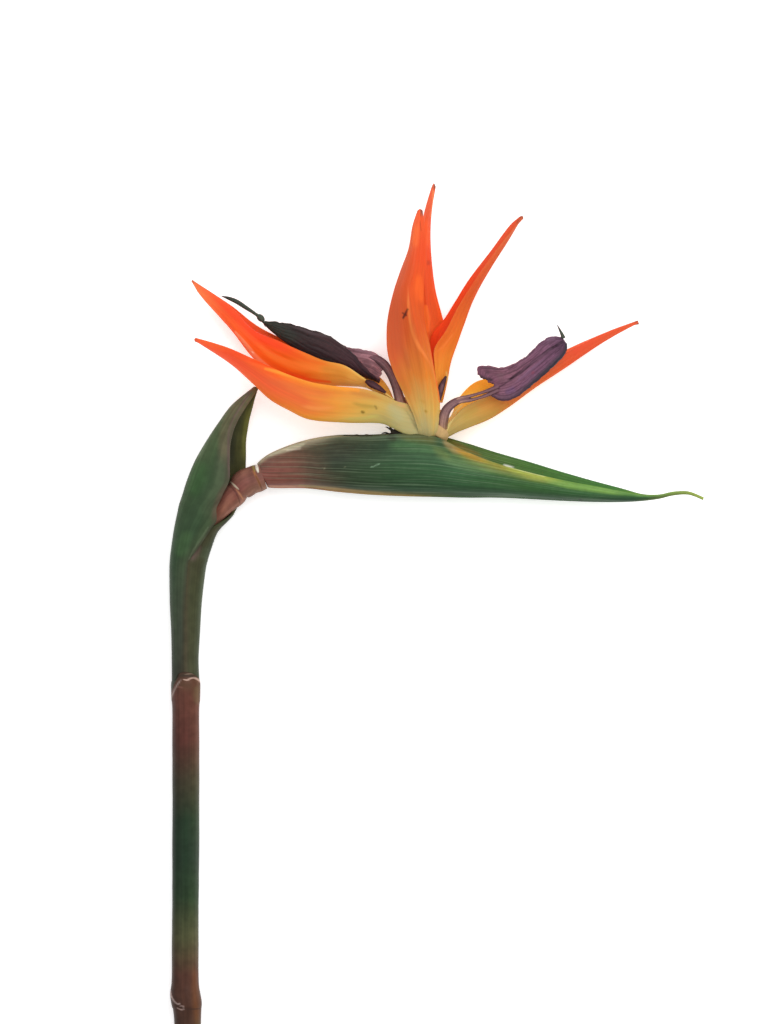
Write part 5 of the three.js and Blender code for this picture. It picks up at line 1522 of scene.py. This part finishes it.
def make_floor(settings):
    """A plain pale floor just under the flower."""
    half = settings.floor_size / 2
    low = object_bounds()[0][2] - FLOOR_GAP
    corners = [(-half, -half, low), (half, -half, low), (half, half, low), (-half, half, low)]
    mesh = bpy.data.meshes.new("floor")
    mesh.from_pydata(corners, [], [(0, 1, 2, 3)])
    paint = Paint("floor_paint", roughness=0.9)
    paint.shader.inputs["Emission Color"].default_value = (1, 1, 1, 1)
    paint.shader.inputs["Emission Strength"].default_value = settings.floor_glow
    pale = paint.ramp(paint.even_noise(3), [(0, "fcfcfc"), (1, "ffffff")])
    mesh.materials.append(paint.finish(pale))
    floor = bpy.data.objects.new("floor", mesh)
    bpy.context.scene.collection.objects.link(floor)
    floor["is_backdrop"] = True


def make_light(name, place, target, size, power):
    """A soft square lamp that faces a point."""
    data = bpy.data.lights.new(name, "AREA")
    data.size = size
    data.energy = power
    lamp = bpy.data.objects.new(name, data)
    lamp.location = place
    lamp.rotation_euler = (Vector(target) - Vector(place)).to_track_quat("-Z", "Y").to_euler()
    bpy.context.scene.collection.objects.link(lamp)


def make_camera(settings):
    """A long lens that looks straight down at the flower."""
    data = bpy.data.cameras.new("camera")
    data.sensor_width = SENSOR_WIDTH
    data.lens = data.sensor_width * settings.camera_height / settings.view_length
    data.clip_end = FAR_CLIP
    camera = bpy.data.objects.new("camera", data)
    camera.location = (*settings.view_centre, settings.camera_height + FLOWER_HEIGHT / 2)
    bpy.context.scene.collection.objects.link(camera)
    bpy.context.scene.camera = camera


def make_world(settings):
    """Even pale light from all round, and plain colour handling."""
    scene = bpy.context.scene
    world = bpy.data.worlds.new("studio")
    world.use_nodes = True
    sky = world.node_tree.nodes["Background"]
    sky.inputs["Color"].default_value = settings.sky_colour
    sky.inputs["Strength"].default_value = settings.sky_strength
    scene.world = world
    scene.view_settings.view_transform = "Standard"
    scene.view_settings.look = "None"


# ---------- settings ----------

class LeafSettings(bpy.types.PropertyGroup):
    """How finely the stalk and the leaves are made, and the colour of the spathe's threads."""

    rows: bpy.props.IntProperty(
        name="Rows", description="Steps along the piece", default=340, min=24)
    sides: bpy.props.IntProperty(
        name="Sides", description="Steps round the stalk", default=56, min=12)
    columns: bpy.props.IntProperty(
        name="Columns", description="Steps round the sheath", default=120, min=14)
    wall_columns: bpy.props.IntProperty(
        name="Wall columns", description="Steps from the spathe's keel to its lip", default=48, min=7)
    groove_columns: bpy.props.IntProperty(
        name="Groove columns", description="Steps across the spathe's groove", default=40, min=3)
    pale_thread: bpy.props.FloatVectorProperty(
        name="Pale threads", description="Colour of the spathe's fine fibres",
        default=colour("8fa384"), size=4, subtype="COLOR", min=0, max=1)


class SepalSettings(bpy.types.PropertyGroup):
    """How finely the sepals are made, how deep their pleats are, and the colour of their tips."""

    rows: bpy.props.IntProperty(
        name="Rows", description="Steps from the foot to the tip", default=200, min=18)
    columns: bpy.props.IntProperty(
        name="Columns", description="Steps from margin to margin", default=72, min=6)
    pleat_depth: bpy.props.FloatProperty(
        name="Pleat depth", description="Height of the soft lengthwise pleats", default=0.00005,
        subtype="DISTANCE", unit="LENGTH")
    dry_tip: bpy.props.FloatVectorProperty(
        name="Dry tips", description="Colour of the sepals' dry tips", default=colour("8c5040"),
        size=4, subtype="COLOR", min=0, max=1)


class TongueSettings(bpy.types.PropertyGroup):
    """How finely the tongues are made, and how deep their wrinkles are."""

    rows: bpy.props.IntProperty(
        name="Rows", description="Steps from the foot to the tip", default=140, min=16)
    columns: bpy.props.IntProperty(
        name="Columns", description="Steps from margin to margin", default=60, min=6)
    stalk_rows: bpy.props.IntProperty(
        name="Stalk rows", description="Steps along a strand", default=70, min=12)
    stalk_sides: bpy.props.IntProperty(
        name="Stalk sides", description="Steps round a strand", default=20, min=7)
    ridge_depth: bpy.props.FloatProperty(
        name="Ridge depth", description="Height of the lengthwise wrinkles", default=0.00011,
        subtype="DISTANCE", unit="LENGTH")


class FootSettings(bpy.types.PropertyGroup):
    """How finely the florets' feet are made."""

    rows: bpy.props.IntProperty(name="Rows", description="Steps along the foot", default=50, min=9)
    sides: bpy.props.IntProperty(name="Sides", description="Steps round the foot", default=48, min=12)


class StageSettings(bpy.types.PropertyGroup):
    """Camera, lamps and floor."""

    camera_height: bpy.props.FloatProperty(
        name="Camera height", description="Height of the lens over the flower", default=3.0,
        subtype="DISTANCE", unit="LENGTH")
    view_length: bpy.props.FloatProperty(
        name="View length", description="What the picture's long side takes in", default=0.4301,
        subtype="DISTANCE", unit="LENGTH")
    view_centre: bpy.props.FloatVectorProperty(
        name="View centre", description="The point under the lens", default=(0.0834, 0.0286), size=2,
        unit="LENGTH")
    floor_size: bpy.props.FloatProperty(
        name="Floor size", description="Side of the square floor", default=6.0, subtype="DISTANCE",
        unit="LENGTH")
    sky_strength: bpy.props.FloatProperty(
        name="Sky strength", description="Brightness of the even light", default=0.58, min=0)
    sky_colour: bpy.props.FloatVectorProperty(
        name="Sky colour", description="Colour of the even light", default=(1, 1, 1, 1), size=4,
        subtype="COLOR", min=0, max=1)
    lamp_power: bpy.props.FloatProperty(
        name="Lamp power", description="Power of the main lamp", default=27.0, min=0, unit="POWER")
    floor_glow: bpy.props.FloatProperty(
        name="Floor glow", description="Even light from the floor itself, as on a light table",
        default=0.42, min=0)


SETTINGS = {
    "flower_leaves": LeafSettings,
    "flower_sepals": SepalSettings,
    "flower_tongues": TongueSettings,
    "flower_feet": FootSettings,
    "flower_stage": StageSettings,
}


# ---------- operators ----------

class FLOWER_OT_stem(bpy.types.Operator):
    """Make the stalk, with its leaf scars and its neck"""

    bl_idname = "flower.stem"
    bl_label = "Stalk"

    def execute(self, context):
        make_stem(context.scene.flower_leaves)
        return {"FINISHED"}


class FLOWER_OT_sheath(bpy.types.Operator):
    """Make the leaf sheath round the stalk"""

    bl_idname = "flower.sheath"
    bl_label = "Leaf Sheath"

    def execute(self, context):
        make_sheath(context.scene.flower_leaves)
        return {"FINISHED"}


class FLOWER_OT_spathe(bpy.types.Operator):
    """Make the beak-shaped spathe"""

    bl_idname = "flower.spathe"
    bl_label = "Spathe"

    def execute(self, context):
        make_spathe(context.scene.flower_leaves)
        make_scraps()
        return {"FINISHED"}


class FLOWER_OT_feet(bpy.types.Operator):
    """Make the pale feet of the two florets"""

    bl_idname = "flower.feet"
    bl_label = "Floret Feet"

    def execute(self, context):
        for node in FEET:
            make_foot(context.scene.flower_feet, node)
        return {"FINISHED"}


class FLOWER_OT_sepals(bpy.types.Operator):
    """Make the six orange sepals"""

    bl_idname = "flower.sepals"
    bl_label = "Sepals"

    def execute(self, context):
        for node in SEPALS:
            make_sepal(context.scene.flower_sepals, node)
        return {"FINISHED"}


class FLOWER_OT_tongues(bpy.types.Operator):
    """Make the two purple tongues, their strands and the small petals at their feet"""

    bl_idname = "flower.tongues"
    bl_label = "Tongues"

    def execute(self, context):
        settings = context.scene.flower_tongues
        for node in TONGUES:
            make_tongue(settings, node)
            make_tongue_stalks(settings, node)
        for node in SMALL_PETALS:
            make_small_petal(settings, node)
        return {"FINISHED"}


class FLOWER_OT_styles(bpy.types.Operator):
    """Make the dark thread at each tongue's tip"""

    bl_idname = "flower.styles"
    bl_label = "Styles"

    def execute(self, context):
        for node in STYLES:
            make_style(context.scene.flower_tongues, node)
        return {"FINISHED"}


class FLOWER_OT_stage(bpy.types.Operator):
    """Set the floor, the lamps, the world and the camera"""

    bl_idname = "flower.stage"
    bl_label = "Stage"

    def execute(self, context):
        settings = context.scene.flower_stage
        make_floor(settings)
        target = (*settings.view_centre, 0)
        for name, (place, size, share) in LAMPS.items():
            make_light(name, place, target, size, settings.lamp_power * share)
        make_world(settings)
        make_camera(settings)
        return {"FINISHED"}


PIECE_OPERATORS = (
    FLOWER_OT_stem, FLOWER_OT_sheath, FLOWER_OT_spathe, FLOWER_OT_feet, FLOWER_OT_sepals,
    FLOWER_OT_tongues, FLOWER_OT_styles, FLOWER_OT_stage,
)


class FLOWER_PT_panel(bpy.types.Panel):
    """The flower's settings and buttons in the sidebar."""

    bl_idname = "FLOWER_PT_panel"
    bl_label = "Bird of Paradise Flower"
    bl_space_type = "VIEW_3D"
    bl_region_type = "UI"
    bl_category = "Flower"

    def draw(self, context):
        for operator in PIECE_OPERATORS:
            self.layout.operator(operator.bl_idname)
        for name, group in SETTINGS.items():
            box = self.layout.box()
            box.label(text=group.__doc__)
            for field in group.__annotations__:
                box.prop(getattr(context.scene, name), field)


CLASSES = (*SETTINGS.values(), *PIECE_OPERATORS, FLOWER_PT_panel)


def register():
    """Adds the settings, buttons and panel."""
    for cls in CLASSES:
        bpy.utils.register_class(cls)
    for name, group in SETTINGS.items():
        setattr(bpy.types.Scene, name, bpy.props.PointerProperty(type=group))


def unregister():
    """Takes them away again."""
    for name in SETTINGS:
        delattr(bpy.types.Scene, name)
    for cls in reversed(CLASSES):
        bpy.utils.unregister_class(cls)


def main():
    """Makes the whole flower and its stage."""
    register()
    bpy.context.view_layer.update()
    for operator in (
        bpy.ops.flower.stem, bpy.ops.flower.sheath, bpy.ops.flower.spathe, bpy.ops.flower.feet,
        bpy.ops.flower.sepals, bpy.ops.flower.tongues, bpy.ops.flower.styles, bpy.ops.flower.stage,
    ):
        operator()


if __name__ == "__main__":
    main()
